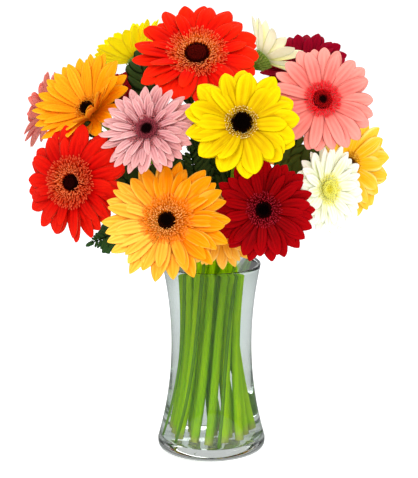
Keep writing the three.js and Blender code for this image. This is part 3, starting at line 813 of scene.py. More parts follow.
def make_petals(bloom, number, hues, settings):
    """All rows of a bloom's ray petals, as one piece."""
    rng = np.random.default_rng(PETAL_SEED + number)
    skin = Skin()
    for row in range(len(bloom.rows)):
        add_ray_row(skin, bloom, row, rng)
    skin.make(
        bloom.name + "_rays", petal_material(hues, settings),
        [bloom.name + "_petals"],
    )


# Florets

FLORET_SEED = 2000
FLORET_STATIONS = np.array([0.0, 0.3, 0.6, 0.85, 0.97])
FLORET_WIDTHS = np.array([0.4, 0.5, 0.75, 1.0, 0.6])
FLORET_SECTION = section(3, 1)
FLORET_HALF_WIDTH = 0.42
FLORET_THICKNESS = 0.5
FLORET_BOW = 0.35
BUD_STATIONS = np.array([0.0, 0.4, 0.8, 0.96])
BUD_WIDTHS = np.array([0.8, 1.0, 0.85, 0.4])
BUD_SIZE = 1.75
BUD_ROOT = 1
BUDS_BY_AREA = 1.5
BUDS_AT_LEAST = 40
GOLDEN_ANGLE = math.radians(137.508)
EYE_FILL = 0.93

# Heights above the disc's centre, in millimetres: the eye's bed, how much it domes, and the
# fringe's seat
EYE_SEAT = 3.2
EYE_DOME = 1.4
FRINGE_SEAT = 1.6

# The fringe's longest florets, in millimetres and as a share of its band, and the innermost ones
# as a share of those; how steeply the inner and outer ones start, in degrees; where the last ring
# starts, in from the fringe's edge as a share of its reach
FRINGE_REACH = 7.5
FRINGE_REACH_SHARE = 0.6
INNER_LENGTH = 0.55
STEEP_INSIDE = 80
STEEP_OUTSIDE = 46
LAST_RING = 0.75
FRINGE_OVERLAP = 0.2
RING_STEP = 1.15

SEAT_SHARE = 0.8
SEAT_DROP = 2.4
SEAT_POINTS = 28
EYE_RINGS = 2


def add_eye(skin, bloom, rng):
    """Close buds in a sunflower spiral: bud k stands at the square root of k out and at k golden
    angles round. The bed that they stand on rises to its rim and dips in the middle."""
    count = int(BUDS_BY_AREA * bloom.eye ** 2 + BUDS_AT_LEAST)
    share = np.sqrt((np.arange(count) + 0.5) / count)
    turn = GOLDEN_ANGLE * np.arange(count)
    s = BUD_STATIONS
    lean = 0.3 * share + rng.normal(0, 0.12, count)
    size = BUD_SIZE * bloom.eye / math.sqrt(count)
    length = size * (1.3 + 0.8 * share) * (1 + 0.25 * rng.uniform(-1, 1, count))
    foot = EYE_SEAT + EYE_DOME * np.sin(0.8 * np.pi * share ** 1.5)
    radial = (EYE_FILL * bloom.eye * share)[:, None] + (length * np.sin(lean))[:, None] * s
    height = foot[:, None] - BUD_ROOT + (length * np.cos(lean))[:, None] * s
    half = size / 2 * BUD_WIDTHS * np.ones((count, 1))
    beyond_pupil = np.clip((share - bloom.pupil) / (1 - bloom.pupil), 0, 1)
    add_round(
        skin, bloom, (radial, 0 * radial, height), turn, 0 * radial, s, half, size, FLORET_SECTION,
        fringe=beyond_pupil / 2, tone=rng.random(count),
    )


def add_fringe(skin, bloom, rng):
    """Rings of short florets between the eye and the ray petals. Each leaves its seat steeply and
    bends outward to its tip; it is widest near there. The outer rings are longer and lie lower."""
    band = bloom.fringe - bloom.eye
    rings = max(2, round(band / (RING_STEP * bloom.floret)))
    reach = min(FRINGE_REACH, FRINGE_REACH_SHARE * band)
    s = FLORET_STATIONS
    for ring in range(rings):
        share = ring / (rings - 1)
        start = bloom.eye - FRINGE_OVERLAP + (band - LAST_RING * reach) * share
        count = int(2 * math.pi * (start + 1) / bloom.floret)
        turn = 2 * np.pi * (np.arange(count) + rng.uniform(-0.35, 0.35, count) + 0.5 * ring) / count
        start = start + rng.normal(0, 0.35, count)[:, None]
        length = reach * (INNER_LENGTH + (1 - INNER_LENGTH) * share)
        length = length * (1 + 0.2 * rng.uniform(-1, 1, count))
        steep = math.radians(STEEP_INSIDE + (STEEP_OUTSIDE - STEEP_INSIDE) * share)
        steep = steep + rng.normal(0, 0.16, count)
        angle = steep[:, None] * (1 - (0.6 + 0.2 * share) * s ** 1.3)
        step = length[:, None] * np.gradient(s)
        radial = start + np.cumsum(step * np.cos(angle), axis=1)
        height = FRINGE_SEAT + np.cumsum(step * np.sin(angle), axis=1)
        lateral = rng.normal(0, 0.13, count)[:, None] * length[:, None] * s ** 2
        twist = rng.normal(0, 0.4, count)[:, None] + 0 * s
        width = bloom.floret * rng.uniform(0.8, 1.2, count)[:, None]
        add_round(
            skin, bloom, (radial, lateral, height), turn, twist, s,
            FLORET_HALF_WIDTH * width * FLORET_WIDTHS, FLORET_THICKNESS, FLORET_SECTION,
            bow=FLORET_BOW, fringe=0.7 + 0.3 * share, tone=rng.random(count),
        )


def add_seat(skin, bloom):
    """The receptacle under the florets: a low lens turned about the bloom's axis, dark under the
    eye, in the eye's colour with the painted shade of the buds' feet, and of the fringe's colour
    beyond it. Its upper skin dips in the middle."""
    eye = bloom.eye / bloom.fringe / SEAT_SHARE
    share = np.array([0.3 * eye, 0.7 * eye, 0.95 * eye, 1.1 * eye, 0.98, 1.0, 0.8, 0.4])
    rise = EYE_SEAT - SEAT_DROP
    height = np.array([rise, rise + 0.6, rise + 0.6, rise - 0.2, rise - 1, 0.0, -3.5, -4.4])
    turn = 2 * np.pi * np.arange(SEAT_POINTS) / SEAT_POINTS
    radius = (share * SEAT_SHARE * bloom.fringe)[:, None]
    body = turned_out(radius, 0 * radius, height[:, None] + 0 * turn, turn + 0 * radius)
    poles = np.array([[0, 0, rise - 0.2], [0, 0, -4.5]])
    places = np.concatenate([body.reshape(-1, 3), poles])
    outer = np.repeat(np.arange(len(share)) > EYE_RINGS, SEAT_POINTS)
    outer = np.append(outer, (False, True)).astype(float)
    triangles, quads = ring_faces(1, len(share), SEAT_POINTS)
    # Read 0.3 along, the seat lies in the painted shade of the florets' feet.
    spread = np.full((len(places), 2), 0.3)
    skin.add(in_bouquet(bloom, places), triangles, quads, spread, under=0.0, fringe=outer, tone=0.5)


def make_florets(bloom, number, hues):
    """A bloom's seat, eye and fringe, as one piece."""
    rng = np.random.default_rng(FLORET_SEED + number)
    skin = Skin()
    add_seat(skin, bloom)
    add_eye(skin, bloom, rng)
    add_fringe(skin, bloom, rng)
    skin.make(
        bloom.name + "_heart", floret_material(hues),
        [bloom.name + "_disc"],
    )


# Stems

STEM_SEED = 3000
WANDER_SEED = 7
STEM_POINTS = 16
STEM_RIBS = 5
STEM_RIB_DEPTH = 0.03
VASE_STEPS = 18
NECK_STEPS = 26
BOWL_STEPS = 12
BOWL_ROOT = 1.5
BOWL_TOP = 2.6
BRACT_STATIONS = np.array([0.0, 0.2, 0.4, 0.6, 0.8, 0.93, 0.99])
BRACT_WIDTHS = np.array([0.7, 0.95, 1, 0.9, 0.62, 0.3, 0.1])
BRACT_SECTION = section(3, 1)
BRACT_HALF_WIDTH = 0.0425
BRACT_THICKNESS = 0.7
BRACT_BOW = -0.1
BRACT_START = 0.1
BRACT_TOP = 3.2
BRACT_LIFT = 0.5
BRACT_LAP = 0.25

# Rows of bracts, inmost first: how many, how high their tips stand and where on the bowl they end,
# both as shares of the calyx's length
BRACT_ROWS = ((20, 0.7, 0.62), (20, 0.9, 0.85), (22, 1.05, 1.0))


class Wander:
    """The repeatable random numbers from 0 to 1 that set each stem a little off its slot, drawn
    as they are for the solids."""

    FACTOR = 1664525
    STEP = 1013904223
    RANGE = 2 ** 32

    def __init__(self, seed):
        self.state = seed

    def draw(self):
        self.state = (self.state * self.FACTOR + self.STEP) % self.RANGE
        return self.state / self.RANGE


def plans():
    """Each stem's and frond's place in the bundle, in units of the spacing."""
    wander = Wander(WANDER_SEED)
    found = {}
    for piece in (*BLOOMS, *FRONDS):
        ring, degrees = piece.slot
        corner = ring == 2 and degrees % 60 == 0
        radius = RING_TWO_CORNER if corner else RING_RADII[ring]
        off = 2 * math.pi * wander.draw()
        angle = math.radians(degrees)
        found[piece.name] = (
            radius * math.cos(angle) + UNEVENNESS * math.cos(off),
            radius * math.sin(angle) + UNEVENNESS * math.sin(off),
        )
    return found


def bundle_points(plan, z):
    """A stem's centres at heights z. The spacing is a parabola about the bundle's tight height,
    and the plan turns about the axis in step with the height."""
    above = z > TIGHT_HEIGHT
    reach = np.where(above, VASE_HEIGHT - TIGHT_HEIGHT, TIGHT_HEIGHT - FLOOR)
    widest = np.where(above, SPACING_AT_RIM, SPACING_AT_FLOOR)
    spacing = SPACING_TIGHT + (widest - SPACING_TIGHT) * ((z - TIGHT_HEIGHT) / reach) ** 2
    turn = TWIST * (z - VASE_HEIGHT) / VASE_HEIGHT
    x = spacing * (plan[0] * np.cos(turn) - plan[1] * np.sin(turn))
    y = spacing * (plan[0] * np.sin(turn) + plan[1] * np.cos(turn))
    return np.stack([x, y, z], axis=-1)


def leaving_rim(plan):
    """The direction in which a stem leaves the rim."""
    below, above = bundle_points(plan, np.array([VASE_HEIGHT - 1.0, VASE_HEIGHT + 1.0]))
    return unit(above - below)


def add_bar(skin, route, radius, tone, bract=0.0, ends=(0.0, 1.0)):
    """A round bar along a route, faintly ribbed. Its rings stand square to the route, and their
    first direction is carried along without twisting; the ends are capped flat. bract is one mark
    or one for each ring."""
    along = unit(np.gradient(route, axis=0))
    across = np.zeros_like(route)
    first = np.array([1.0, 0, 0])
    for i, direction in enumerate(along):
        first = unit(first - (first @ direction) * direction)
        across[i] = first
    side = np.cross(along, across)
    angle = 2 * np.pi * np.arange(STEM_POINTS) / STEM_POINTS
    ribs = 1 + STEM_RIB_DEPTH * np.cos(STEM_RIBS * angle)
    spokes = across[:, None] * np.cos(angle)[:, None] + side[:, None] * np.sin(angle)[:, None]
    body = route[:, None] + spokes * (radius[:, None] * ribs)[..., None]
    places = np.concatenate([body.reshape(-1, 3), route[[0, -1]]])
    steps = np.linalg.norm(np.diff(route, axis=0), axis=1)
    share = np.concatenate([[0], np.cumsum(steps)]) / steps.sum()
    u = np.interp(share, (0, 1), ends)
    round_share = np.abs(np.arange(STEM_POINTS) / STEM_POINTS * 2 - 1)
    spread = np.stack([np.repeat(u, STEM_POINTS), np.tile(round_share, len(route))], axis=-1)
    spread = np.concatenate([spread, [[u[0], 0.5], [u[-1], 0.5]]])
    triangles, quads = ring_faces(1, len(route), STEM_POINTS)
    share = np.broadcast_to(bract, len(route))
    bract = np.append(np.repeat(share, STEM_POINTS), share[[0, -1]])
    skin.add(
        places, triangles[:, ::-1], quads[:, ::-1], spread,
        under=0.0, tone=tone, bract=bract, olive=0.0,
    )


def stem_route(bloom, plan):
    """Up through the vase in the bundle, then along a cubic curve that leaves the rim in the
    bundle's direction and comes up to the head along its facing."""
    heights = np.linspace(FLOOR + GAP, VASE_HEIGHT, VASE_STEPS)
    inside = bundle_points(plan, heights)
    start = inside[-1]
    leaving = leaving_rim(plan)
    facing = bloom_frame(bloom)[:, 2]
    end = np.array(bloom.at) - CALYX_LENGTH * facing
    length = np.linalg.norm(end - start)
    a = start + leaving * NECK_RISE * length
    b = end - facing * min(NECK_LENGTH, NECK_SHARE * length)
    t = np.linspace(0, 1, NECK_STEPS)[1:, None]
    neck = (
        (1 - t) ** 3 * start + 3 * (1 - t) ** 2 * t * a + 3 * (1 - t) * t ** 2 * b + t ** 3 * end
    )
    return np.concatenate([inside, neck])


def bowl_radius(bloom, t):
    """The calyx's radius, from the stem's at t = 0 along a quarter sine to the widest at t = 1."""
    wide = CALYX_RADIUS * bloom.radius
    return STEM_NECK_RADIUS + (wide - STEM_NECK_RADIUS) * np.sin(t * np.pi / 2) ** 1.3


def add_calyx(skin, bloom, tone, rng):
    """The green cup: a bowl on the stem, with three rows of pointed bracts that lie on it and curl
    off at their tips with s^3."""
    t = np.linspace(0, 1, BOWL_STEPS)
    depth = np.append(-CALYX_LENGTH - BOWL_ROOT, -CALYX_LENGTH + t * (CALYX_LENGTH - BOWL_TOP))
    route = np.array(bloom.at) + depth[:, None] * bloom_frame(bloom)[:, 2]
    bowl = np.append(STEM_NECK_RADIUS, bowl_radius(bloom, t))
    add_bar(skin, route, bowl, tone, bract=1.0, ends=(0.2, 0.5))
    s = BRACT_STATIONS
    for row, (count, reach, top) in enumerate(BRACT_ROWS):
        turn = 2 * np.pi * (np.arange(count) + 0.5 * row + rng.uniform(-0.15, 0.15, count)) / count
        t = BRACT_START + (top - BRACT_START) * s
        curl = rng.uniform(0.3, 1.6, count)[:, None] * s ** 3
        radial = bowl_radius(bloom, t) + BRACT_LIFT + BRACT_LAP * row + curl
        height = -CALYX_LENGTH + t * (CALYX_LENGTH - BRACT_TOP) * reach + 0 * curl
        half = BRACT_HALF_WIDTH * bloom.radius * BRACT_WIDTHS * np.ones((count, 1))
        add_round(
            skin, bloom, (radial, 0 * radial, height), turn, math.pi + 0 * radial, s, half,
            BRACT_THICKNESS, BRACT_SECTION, bow=BRACT_BOW, tone=rng.random(count), bract=1.0,
            olive=0.0,
        )


def make_stem(bloom, number, plan, material):
    """A stem and its calyx, as one piece. The stem tapers evenly up to the rim."""
    rng = np.random.default_rng(STEM_SEED + number)
    skin = Skin()
    route = stem_route(bloom, plan)
    inside = np.linspace(STEM_FOOT_RADIUS, STEM_NECK_RADIUS, VASE_STEPS)
    radius = np.concatenate([inside, np.full(NECK_STEPS - 1, STEM_NECK_RADIUS)])
    tone = rng.random()
    add_bar(skin, route, radius, tone)
    add_calyx(skin, bloom, tone, rng)
    skin.make(bloom.name + "_stalk", material, [bloom.name + "_stem"])


# Foliage

FROND_SEED = 4000
LEAFLET_STATIONS = np.linspace(0, 1, 12)[:-1]
LEAFLET_SECTION = section(5, 3)
LEAFLET_THICKNESS = 0.6
LEAFLET_BOW = -0.25
LEAFLET_LONGEST = 1.15
LAST_LEAFLET = 0.8
LEAFLET_LEAST = 0.2
SAW_DEPTH = 0.3
RIB_BRANCH_RADIUS = 1.0
RIB_FRESH_BELOW = 205
RIB_FADE = 12
RIB_TONE = 0.6
RIB_CUTS = 48
BRANCH_CUTS = 40
CURVE_CUTS = 40

# How far outward and forward a leaflet points, and how unevenly it rolls, in radians: on a fern
# and on a plain leaf
FERN_HABIT = (0.86, 0.55, 0.1)
LEAF_HABIT = (0.72, 0.75, 0.35)


def smooth_curve(stops, count):
    """Centripetal Catmull-Rom curve through stops, cut into equal steps."""
    ends = np.concatenate([[2 * stops[0] - stops[1]], stops, [2 * stops[-1] - stops[-2]]])
    dense = []
    for p0, p1, p2, p3 in zip(ends, ends[1:], ends[2:], ends[3:]):
        k = [math.sqrt(np.linalg.norm(b - a)) for a, b in ((p0, p1), (p1, p2), (p2, p3))]
        m1 = k[1] * ((p1 - p0) / k[0] - (p2 - p0) / (k[0] + k[1]) + (p2 - p1) / k[1])
        m2 = k[1] * ((p2 - p1) / k[1] - (p3 - p1) / (k[1] + k[2]) + (p3 - p2) / k[2])
        t = np.linspace(0, 1, CURVE_CUTS)[:, None]
        dense.append((2 * t ** 3 - 3 * t ** 2 + 1) * p1 + (t ** 3 - 2 * t ** 2 + t) * m1
                     + (3 * t ** 2 - 2 * t ** 3) * p2 + (t ** 3 - t ** 2) * m2)
    dense = np.concatenate(dense)
    steps = np.linalg.norm(np.diff(dense, axis=0), axis=1)
    reached = np.concatenate([[0], np.cumsum(steps)])
    wanted = np.linspace(0, reached[-1], count)
    return np.stack([np.interp(wanted, reached, dense[:, i]) for i in range(3)], axis=-1)


def add_leaflets(skin, leaf, curve, rng):
    """Leaflets in pairs along the rib and one at its end, longest a third of the way up. Each
    leaves the rib forward and outward and droops with s^2; its outline is a power of a half sine,
    with saw teeth on a fern."""
    outward_share, forward_share, unrest = FERN_HABIT if leaf.fern else LEAF_HABIT
    facing = unit(np.array(leaf.plane, float))
    s = LEAFLET_STATIONS
    share = (np.arange(leaf.pairs) + 0.3) / leaf.pairs
    place = (leaf.bare + (1 - leaf.bare) * share) * (len(curve) - 1)
    low = np.clip(place.astype(int), 0, len(curve) - 2)
    base = curve[low] + (curve[low + 1] - curve[low]) * (place - low)[:, None]
    along = unit(curve[low + 1] - curve[low])
    out = unit(np.cross(facing, along))
    length = leaf.reach * LEAFLET_LONGEST * np.sin(np.pi * (0.18 + 0.8 * share))
    teeth = 1 - SAW_DEPTH * (np.arange(len(s)) % 2) if leaf.fern else 1
    outline = np.sin(np.pi * (0.06 + 0.92 * s)) ** 0.7 * teeth
    for hand in (-1, 1, 0):
        if hand == 0:
            base, along, out, share = base[-1:], along[-1:], out[-1:], share[-1:]
            length = np.array([LAST_LEAFLET * leaf.reach])
        count = len(base)
        up = np.cross(along, out)
        long = (length * (1 + 0.12 * rng.uniform(-1, 1, count)))[:, None]
        droop = rng.uniform(0.05, 0.35, count)[:, None]
        outward = hand * outward_share * np.ones((count, 1))
        forward = forward_share + 0.3 * share[:, None]
        roll = rng.normal(0, unrest, count)[:, None, None]
        reach = long * s
        centre = (
            base[:, None]
            + out[:, None] * (outward * reach)[..., None]
            + along[:, None] * (forward * reach)[..., None]
            - up[:, None] * (droop * long * s ** 2)[..., None]
        )
        flat = along[:, None] * outward[..., None] - out[:, None] * forward[..., None]
        side = unit(flat) * np.cos(roll) + up[:, None] * np.sin(roll) + 0 * centre
        half = leaf.broad * long * outline[None] + LEAFLET_LEAST
        add_blades(
            skin, centre, side, s, half, LEAFLET_THICKNESS, LEAFLET_SECTION, bow=LEAFLET_BOW,
            tone=rng.random(count), bract=0.0, olive=leaf.olive,
        )


def make_frond(frond, number, plan, material):
    """A frond's ribs and leaflets, as one piece. The first rib comes up from the vase's floor in
    the bundle. Each rib tapers evenly along its leaf, and is a fresh green down in the vase."""
    rng = np.random.default_rng(FROND_SEED + number)
    skin = Skin()
    inside = bundle_points(plan, np.linspace(FLOOR + GAP, VASE_HEIGHT, VASE_STEPS))
    lead = inside[-1] + RIB_LEAD * leaving_rim(plan)
    main = smooth_curve(np.array([inside[-1], lead, *frond.leaves[0].via]), RIB_CUTS)
    for leaf in frond.leaves:
        curve, root = main, RIB_FOOT_RADIUS
        route = np.concatenate([inside, main[1:]])
        if leaf.start:
            branching = main[round(leaf.start * (len(main) - 1))]
            curve = smooth_curve(np.array([branching, *leaf.via]), BRANCH_CUTS)
            route, root = curve, RIB_BRANCH_RADIUS
        taper = np.linspace(root, RIB_TIP_RADIUS, len(curve))
        radius = np.concatenate([np.full(len(route) - len(curve), root), taper])
        fresh = np.clip((RIB_FRESH_BELOW - route[:, 2]) / RIB_FADE, 0, 1)
        add_bar(skin, route, radius, RIB_TONE, bract=fresh)
        add_leaflets(skin, leaf, curve, rng)
    skin.make(frond.name + "_leaves", material, [frond.name])


# Vase and water

TURN_POINTS = 128
WALL_STEPS = 60
FOOT_SQUARENESS = 4
LIP_SQUARENESS = 5
WATER_CLIMB = 0.3


def vase_radius(z):
    """The outside: two parabolas about the waist, a steep one to the rim and a long one to the
    foot."""
    above = z > WAIST_HEIGHT
    reach = np.where(above, VASE_HEIGHT - WAIST_HEIGHT, WAIST_HEIGHT - FOOT_HEIGHT)
    flare = np.where(above, RIM_RADIUS, FOOT_RADIUS) - WAIST_RADIUS
    return WAIST_RADIUS + flare * ((z - WAIST_HEIGHT) / reach) ** 2


def quarter(centre, radii, start, count, squareness):
    """Points on a quarter of an ellipse, from angle start onward, without its ends. Cosine and sine
    are taken to the power 2 / squareness, which fills the corner where that is more than 2."""
    angle = np.radians(start + 90 * np.linspace(0, 1, count)[1:-1])
    parts = np.stack([np.cos(angle), np.sin(angle)], axis=-1)
    parts = np.sign(parts) * np.abs(parts) ** (2 / squareness)
    return np.array(centre) + np.array(radii) * parts


def add_turned(skin, profile, pole_low, pole_high):
    """A closed body turned about the vase's axis from a profile of (radius, height)."""
    angle = 2 * np.pi * np.arange(TURN_POINTS) / TURN_POINTS
    radius, height = profile[:, :1], profile[:, 1:]
    body = np.stack([radius * np.cos(angle), radius * np.sin(angle), height + 0 * angle], axis=-1)
    places = np.concatenate([body.reshape(-1, 3), [[0, 0, pole_low], [0, 0, pole_high]]])
    triangles, quads = ring_faces(1, len(profile), TURN_POINTS)
    share = np.repeat(np.linspace(0, 1, len(profile)), TURN_POINTS)
    spread = np.stack([share, np.tile(angle / (2 * np.pi), len(profile))], axis=-1)
    spread = np.concatenate([spread, [[0, 0], [1, 0]]])
    skin.add(places, triangles[:, ::-1], quads[:, ::-1], spread)


def floor_fillet(floor_radius, reach):
    """Points on the quarter circle between the vase's floor and wall, up from the floor, without
    its end on the wall."""
    angle = np.radians(np.linspace(-90, 0, 9)[:-1])
    outward = floor_radius + reach * np.cos(angle)
    return np.stack([outward, FLOOR + FLOOR_FILLET + reach * np.sin(angle)], axis=-1)


def vase_profile():
    """Up the outside from the foot, over the round lip and down the inside to the floor."""
    foot_edge = vase_radius(np.array([float(FOOT_HEIGHT)]))[0]
    flat = FOOT_RADIUS - STANDING
    foot = quarter([flat, FOOT_HEIGHT], [foot_edge - flat, FOOT_HEIGHT], -90, 12, FOOT_SQUARENESS)
    lip_height = VASE_HEIGHT - WALL / 2
    outside_z = np.linspace(FOOT_HEIGHT, lip_height, WALL_STEPS)
    outside = np.stack([vase_radius(outside_z), outside_z], axis=-1)
    lip_radius = vase_radius(np.array([lip_height]))[0] - WALL / 2
    middle, reach = [lip_radius, lip_height], [WALL / 2, WALL / 2]
    lip = [quarter(middle, reach, start, 9, LIP_SQUARENESS) for start in (0, 90)]
    top = [[lip_radius, VASE_HEIGHT]]
    inside_z = np.linspace(lip_height, FLOOR + FLOOR_FILLET, WALL_STEPS)
    inside = np.stack([vase_radius(inside_z) - WALL, inside_z], axis=-1)
    floor_radius = inside[-1, 0] - FLOOR_FILLET
    fillet = floor_fillet(floor_radius, FLOOR_FILLET)[::-1]
    base = np.array([[r * flat, 0.0] for r in (0.3, 0.7, 0.93, 1.0)])
    floor = np.array([[r * floor_radius, float(FLOOR)] for r in (0.9, 0.5, 0.2)])
    return np.concatenate([base, foot, outside, lip[0], top, lip[1], inside, fillet, floor])


def water_profile():
    """The inside of the vase a hair into its glass, up to the level, where the water climbs the
    wall in a small curve."""
    z = np.linspace(FLOOR + FLOOR_FILLET, WATER_LEVEL + WATER_CLIMB, WALL_STEPS)
    wall = np.stack([vase_radius(z) - WALL + WET_OVERLAP, z], axis=-1)
    floor_radius = wall[0, 0] - FLOOR_FILLET - WET_OVERLAP
    fillet = floor_fillet(floor_radius, FLOOR_FILLET + WET_OVERLAP)
    floor = np.array([[r * floor_radius, FLOOR - WET_OVERLAP] for r in (0.3, 0.7)])
    edge = wall[-1, 0]
    surface = np.array([
        [edge - d, WATER_LEVEL + WATER_CLIMB * math.exp(-d)] for d in (0.5, 1, 1.7, 2.6, 4, 8, 20, 36)
    ])
    return np.concatenate([floor, fillet, wall, surface])


# Settings, operators and panel


class BloomHues(bpy.types.PropertyGroup):
    """The colours of one bloom."""

    root: bpy.props.FloatVectorProperty(
        name="Petal root", description="Colour of a petal at its root", subtype="COLOR",
        default=(0.8, 0.2, 0.02))
    petal: bpy.props.FloatVectorProperty(
        name="Petal", description="Colour of a petal's face", subtype="COLOR",
        default=(1.0, 0.3, 0.02))
    tip: bpy.props.FloatVectorProperty(
        name="Petal tip", description="Colour of a petal's tip", subtype="COLOR",
        default=(1.0, 0.4, 0.03))
    # On the scarlet blooms this edge colour is a painted highlight, and on coral_right painted shade in
    # the gaps between petals.
    edge: bpy.props.FloatVectorProperty(
        name="Petal edge", description="Colour along a petal's edge", subtype="COLOR",
        default=(1.0, 0.5, 0.08))
    back: bpy.props.FloatVectorProperty(
        name="Petal back", description="Colour of a petal's back", subtype="COLOR",
        default=(1.0, 0.5, 0.1))
    fringe: bpy.props.FloatVectorProperty(
        name="Fringe", description="Colour of the short florets", subtype="COLOR",
        default=(0.7, 0.2, 0.02))
    fringe_tip: bpy.props.FloatVectorProperty(
        name="Fringe tip", description="Colour of the short florets' tips", subtype="COLOR",
        default=(1.0, 0.5, 0.1))
    eye: bpy.props.FloatVectorProperty(
        name="Eye", description="Colour in the middle of the eye", subtype="COLOR",
        default=(0.02, 0.005, 0.002))
    eye_rim: bpy.props.FloatVectorProperty(
        name="Eye rim", description="Colour round the eye's rim", subtype="COLOR",
        default=(0.06, 0.01, 0.004))
    rim: bpy.props.FloatProperty(
        name="Edge begins", description="Share across a petal where its edge colour begins",
        default=0.7, min=0.0, max=1.0, subtype="FACTOR")
    # A painted glow: petals and florets give off this much of their own colour as light, in place of
    # light coming through the petals.
    emitted_glow: bpy.props.FloatProperty(
        name="Light through", description="Light from behind that comes through the petals",
        default=0.05, min=0.0, max=1.0, subtype="FACTOR")
    streak: bpy.props.FloatProperty(
        name="Light streaks", description="How strongly light streaks show along the petals",
        default=0.6, min=0.0, max=1.0, subtype="FACTOR")
    merge: bpy.props.FloatProperty(
        name="Fringe merges", description="How near the outer short florets come to the petals' colour",
        default=0.3, min=0.0, max=1.0, subtype="FACTOR")


HUE_NAMES = ("root", "petal", "tip", "edge", "back", "fringe", "fringe_tip", "eye", "eye_rim")


class BouquetSettings(bpy.types.PropertyGroup):
    """The sizes, finishes and light that a user would change."""

    hues: bpy.props.CollectionProperty(
        name="Blooms", description="Colours of each bloom", type=BloomHues)
    vein_depth: bpy.props.FloatProperty(
        name="Vein depth", description="How deep a petal's veins look", default=0.0004,
        min=0.0, subtype="DISTANCE", unit="LENGTH")
    petal_glow: bpy.props.FloatProperty(
        name="Petal glow", description="Share of the light that passes into a petal",
        default=0.1, min=0.0, max=1.0, subtype="FACTOR")
    glass_tint: bpy.props.FloatVectorProperty(
        name="Glass", description="Tint of the vase's glass", subtype="COLOR",
        default=(0.925, 0.965, 0.945))
    key_power: bpy.props.FloatProperty(
        name="Key light", description="Power of the large soft light", default=20.0,
        min=0.0, unit="POWER")
    rim_power: bpy.props.FloatProperty(
        name="Back light", description="Power of the light behind and above", default=10.0,
        min=0.0, unit="POWER")
    fill_power: bpy.props.FloatProperty(
        name="Fill light", description="Power of the low light in front", default=12.0,
        min=0.0, unit="POWER")
    sky: bpy.props.FloatProperty(
        name="Room light", description="Strength of the even light from all round",
        default=0.95, min=0.0)
    backdrop: bpy.props.FloatProperty(
        name="Backdrop", description="How bright the room looks in and through glass",
        default=0.6, min=0.0)
    mirrored: bpy.props.FloatProperty(
        name="Mirrored light", description="Share of the floor's brightness that reflections show",
        default=0.28, min=0.0, max=1.0, subtype="FACTOR")
    floor_glow: bpy.props.FloatProperty(
        name="Floor glow", description="Light that the white floor adds of its own",
        default=0.4, min=0.0)


class BOUQUET_OT_petals(bpy.types.Operator):
    """Adds the ray petals of every bloom"""

    bl_idname = "bouquet.petals"
    bl_label = "Petals"

    def execute(self, context):
        settings = context.scene.bouquet
        for number, bloom in enumerate(BLOOMS):
            make_petals(bloom, number, settings.hues[bloom.name], settings)
        return {"FINISHED"}


class BOUQUET_OT_florets(bpy.types.Operator):
    """Adds the eye and the fringe of short florets of every bloom"""

    bl_idname = "bouquet.florets"
    bl_label = "Florets"

    def execute(self, context):
        settings = context.scene.bouquet
        for number, bloom in enumerate(BLOOMS):
            make_florets(bloom, number, settings.hues[bloom.name])
        return {"FINISHED"}


class BOUQUET_OT_stems(bpy.types.Operator):
    """Adds every stem with its calyx"""

    bl_idname = "bouquet.stems"
    bl_label = "Stems"

    def execute(self, context):
        material = stem_material()
        places = plans()
        for number, bloom in enumerate(BLOOMS):
            make_stem(bloom, number, places[bloom.name], material)
        return {"FINISHED"}


class BOUQUET_OT_foliage(bpy.types.Operator):
    """Adds the fern fronds and the leaf"""

    bl_idname = "bouquet.foliage"
    bl_label = "Foliage"

    def execute(self, context):
        material = leaf_material()
        places = plans()
        for number, frond in enumerate(FRONDS):
            make_frond(frond, number, places[frond.name], material)
        return {"FINISHED"}


class BOUQUET_OT_vase(bpy.types.Operator):
    """Adds the glass vase"""

    bl_idname = "bouquet.vase"
    bl_label = "Vase"

    def execute(self, context):
        skin = Skin()
        add_turned(skin, vase_profile(), 0.0, float(FLOOR))
        skin.make("glass_vase", glass_material(context.scene.bouquet), ["vase"])
        return {"FINISHED"}


class BOUQUET_OT_water(bpy.types.Operator):
    """Fills the vase with water"""

    bl_idname = "bouquet.water"
    bl_label = "Water"

    def execute(self, context):
        skin = Skin()
        add_turned(skin, water_profile(), FLOOR - WET_OVERLAP, float(WATER_LEVEL))
        skin.make("vase_fill", water_material(), ["water"])
        return {"FINISHED"}


def add_light(name, at, aim, size, power, mirrored=True):
    """A square soft light that points from at to aim, in metres. mirrored: glass shows it."""
    light = bpy.data.lights.new(name, "AREA")
    light.size = size
    light.energy = power
    lamp = bpy.data.objects.new(name, light)
    bpy.context.scene.collection.objects.link(lamp)
    lamp.visible_glossy = mirrored
    lamp.visible_transmission = mirrored
    lamp.location = at
    down = np.array(at) - np.array(aim)
    lamp.rotation_euler = (
        math.atan2(math.hypot(down[0], down[1]), down[2]), 0, math.atan2(down[0], -down[1]),
    )


FLOOR_COLOUR = (0.8, 0.81, 0.83)
FLOOR_THROUGH_GLASS = 0.82
FLOOR_REACH = 12.0
FLOOR_LEVEL = -0.0002
ROOM_WHITE = 1.05


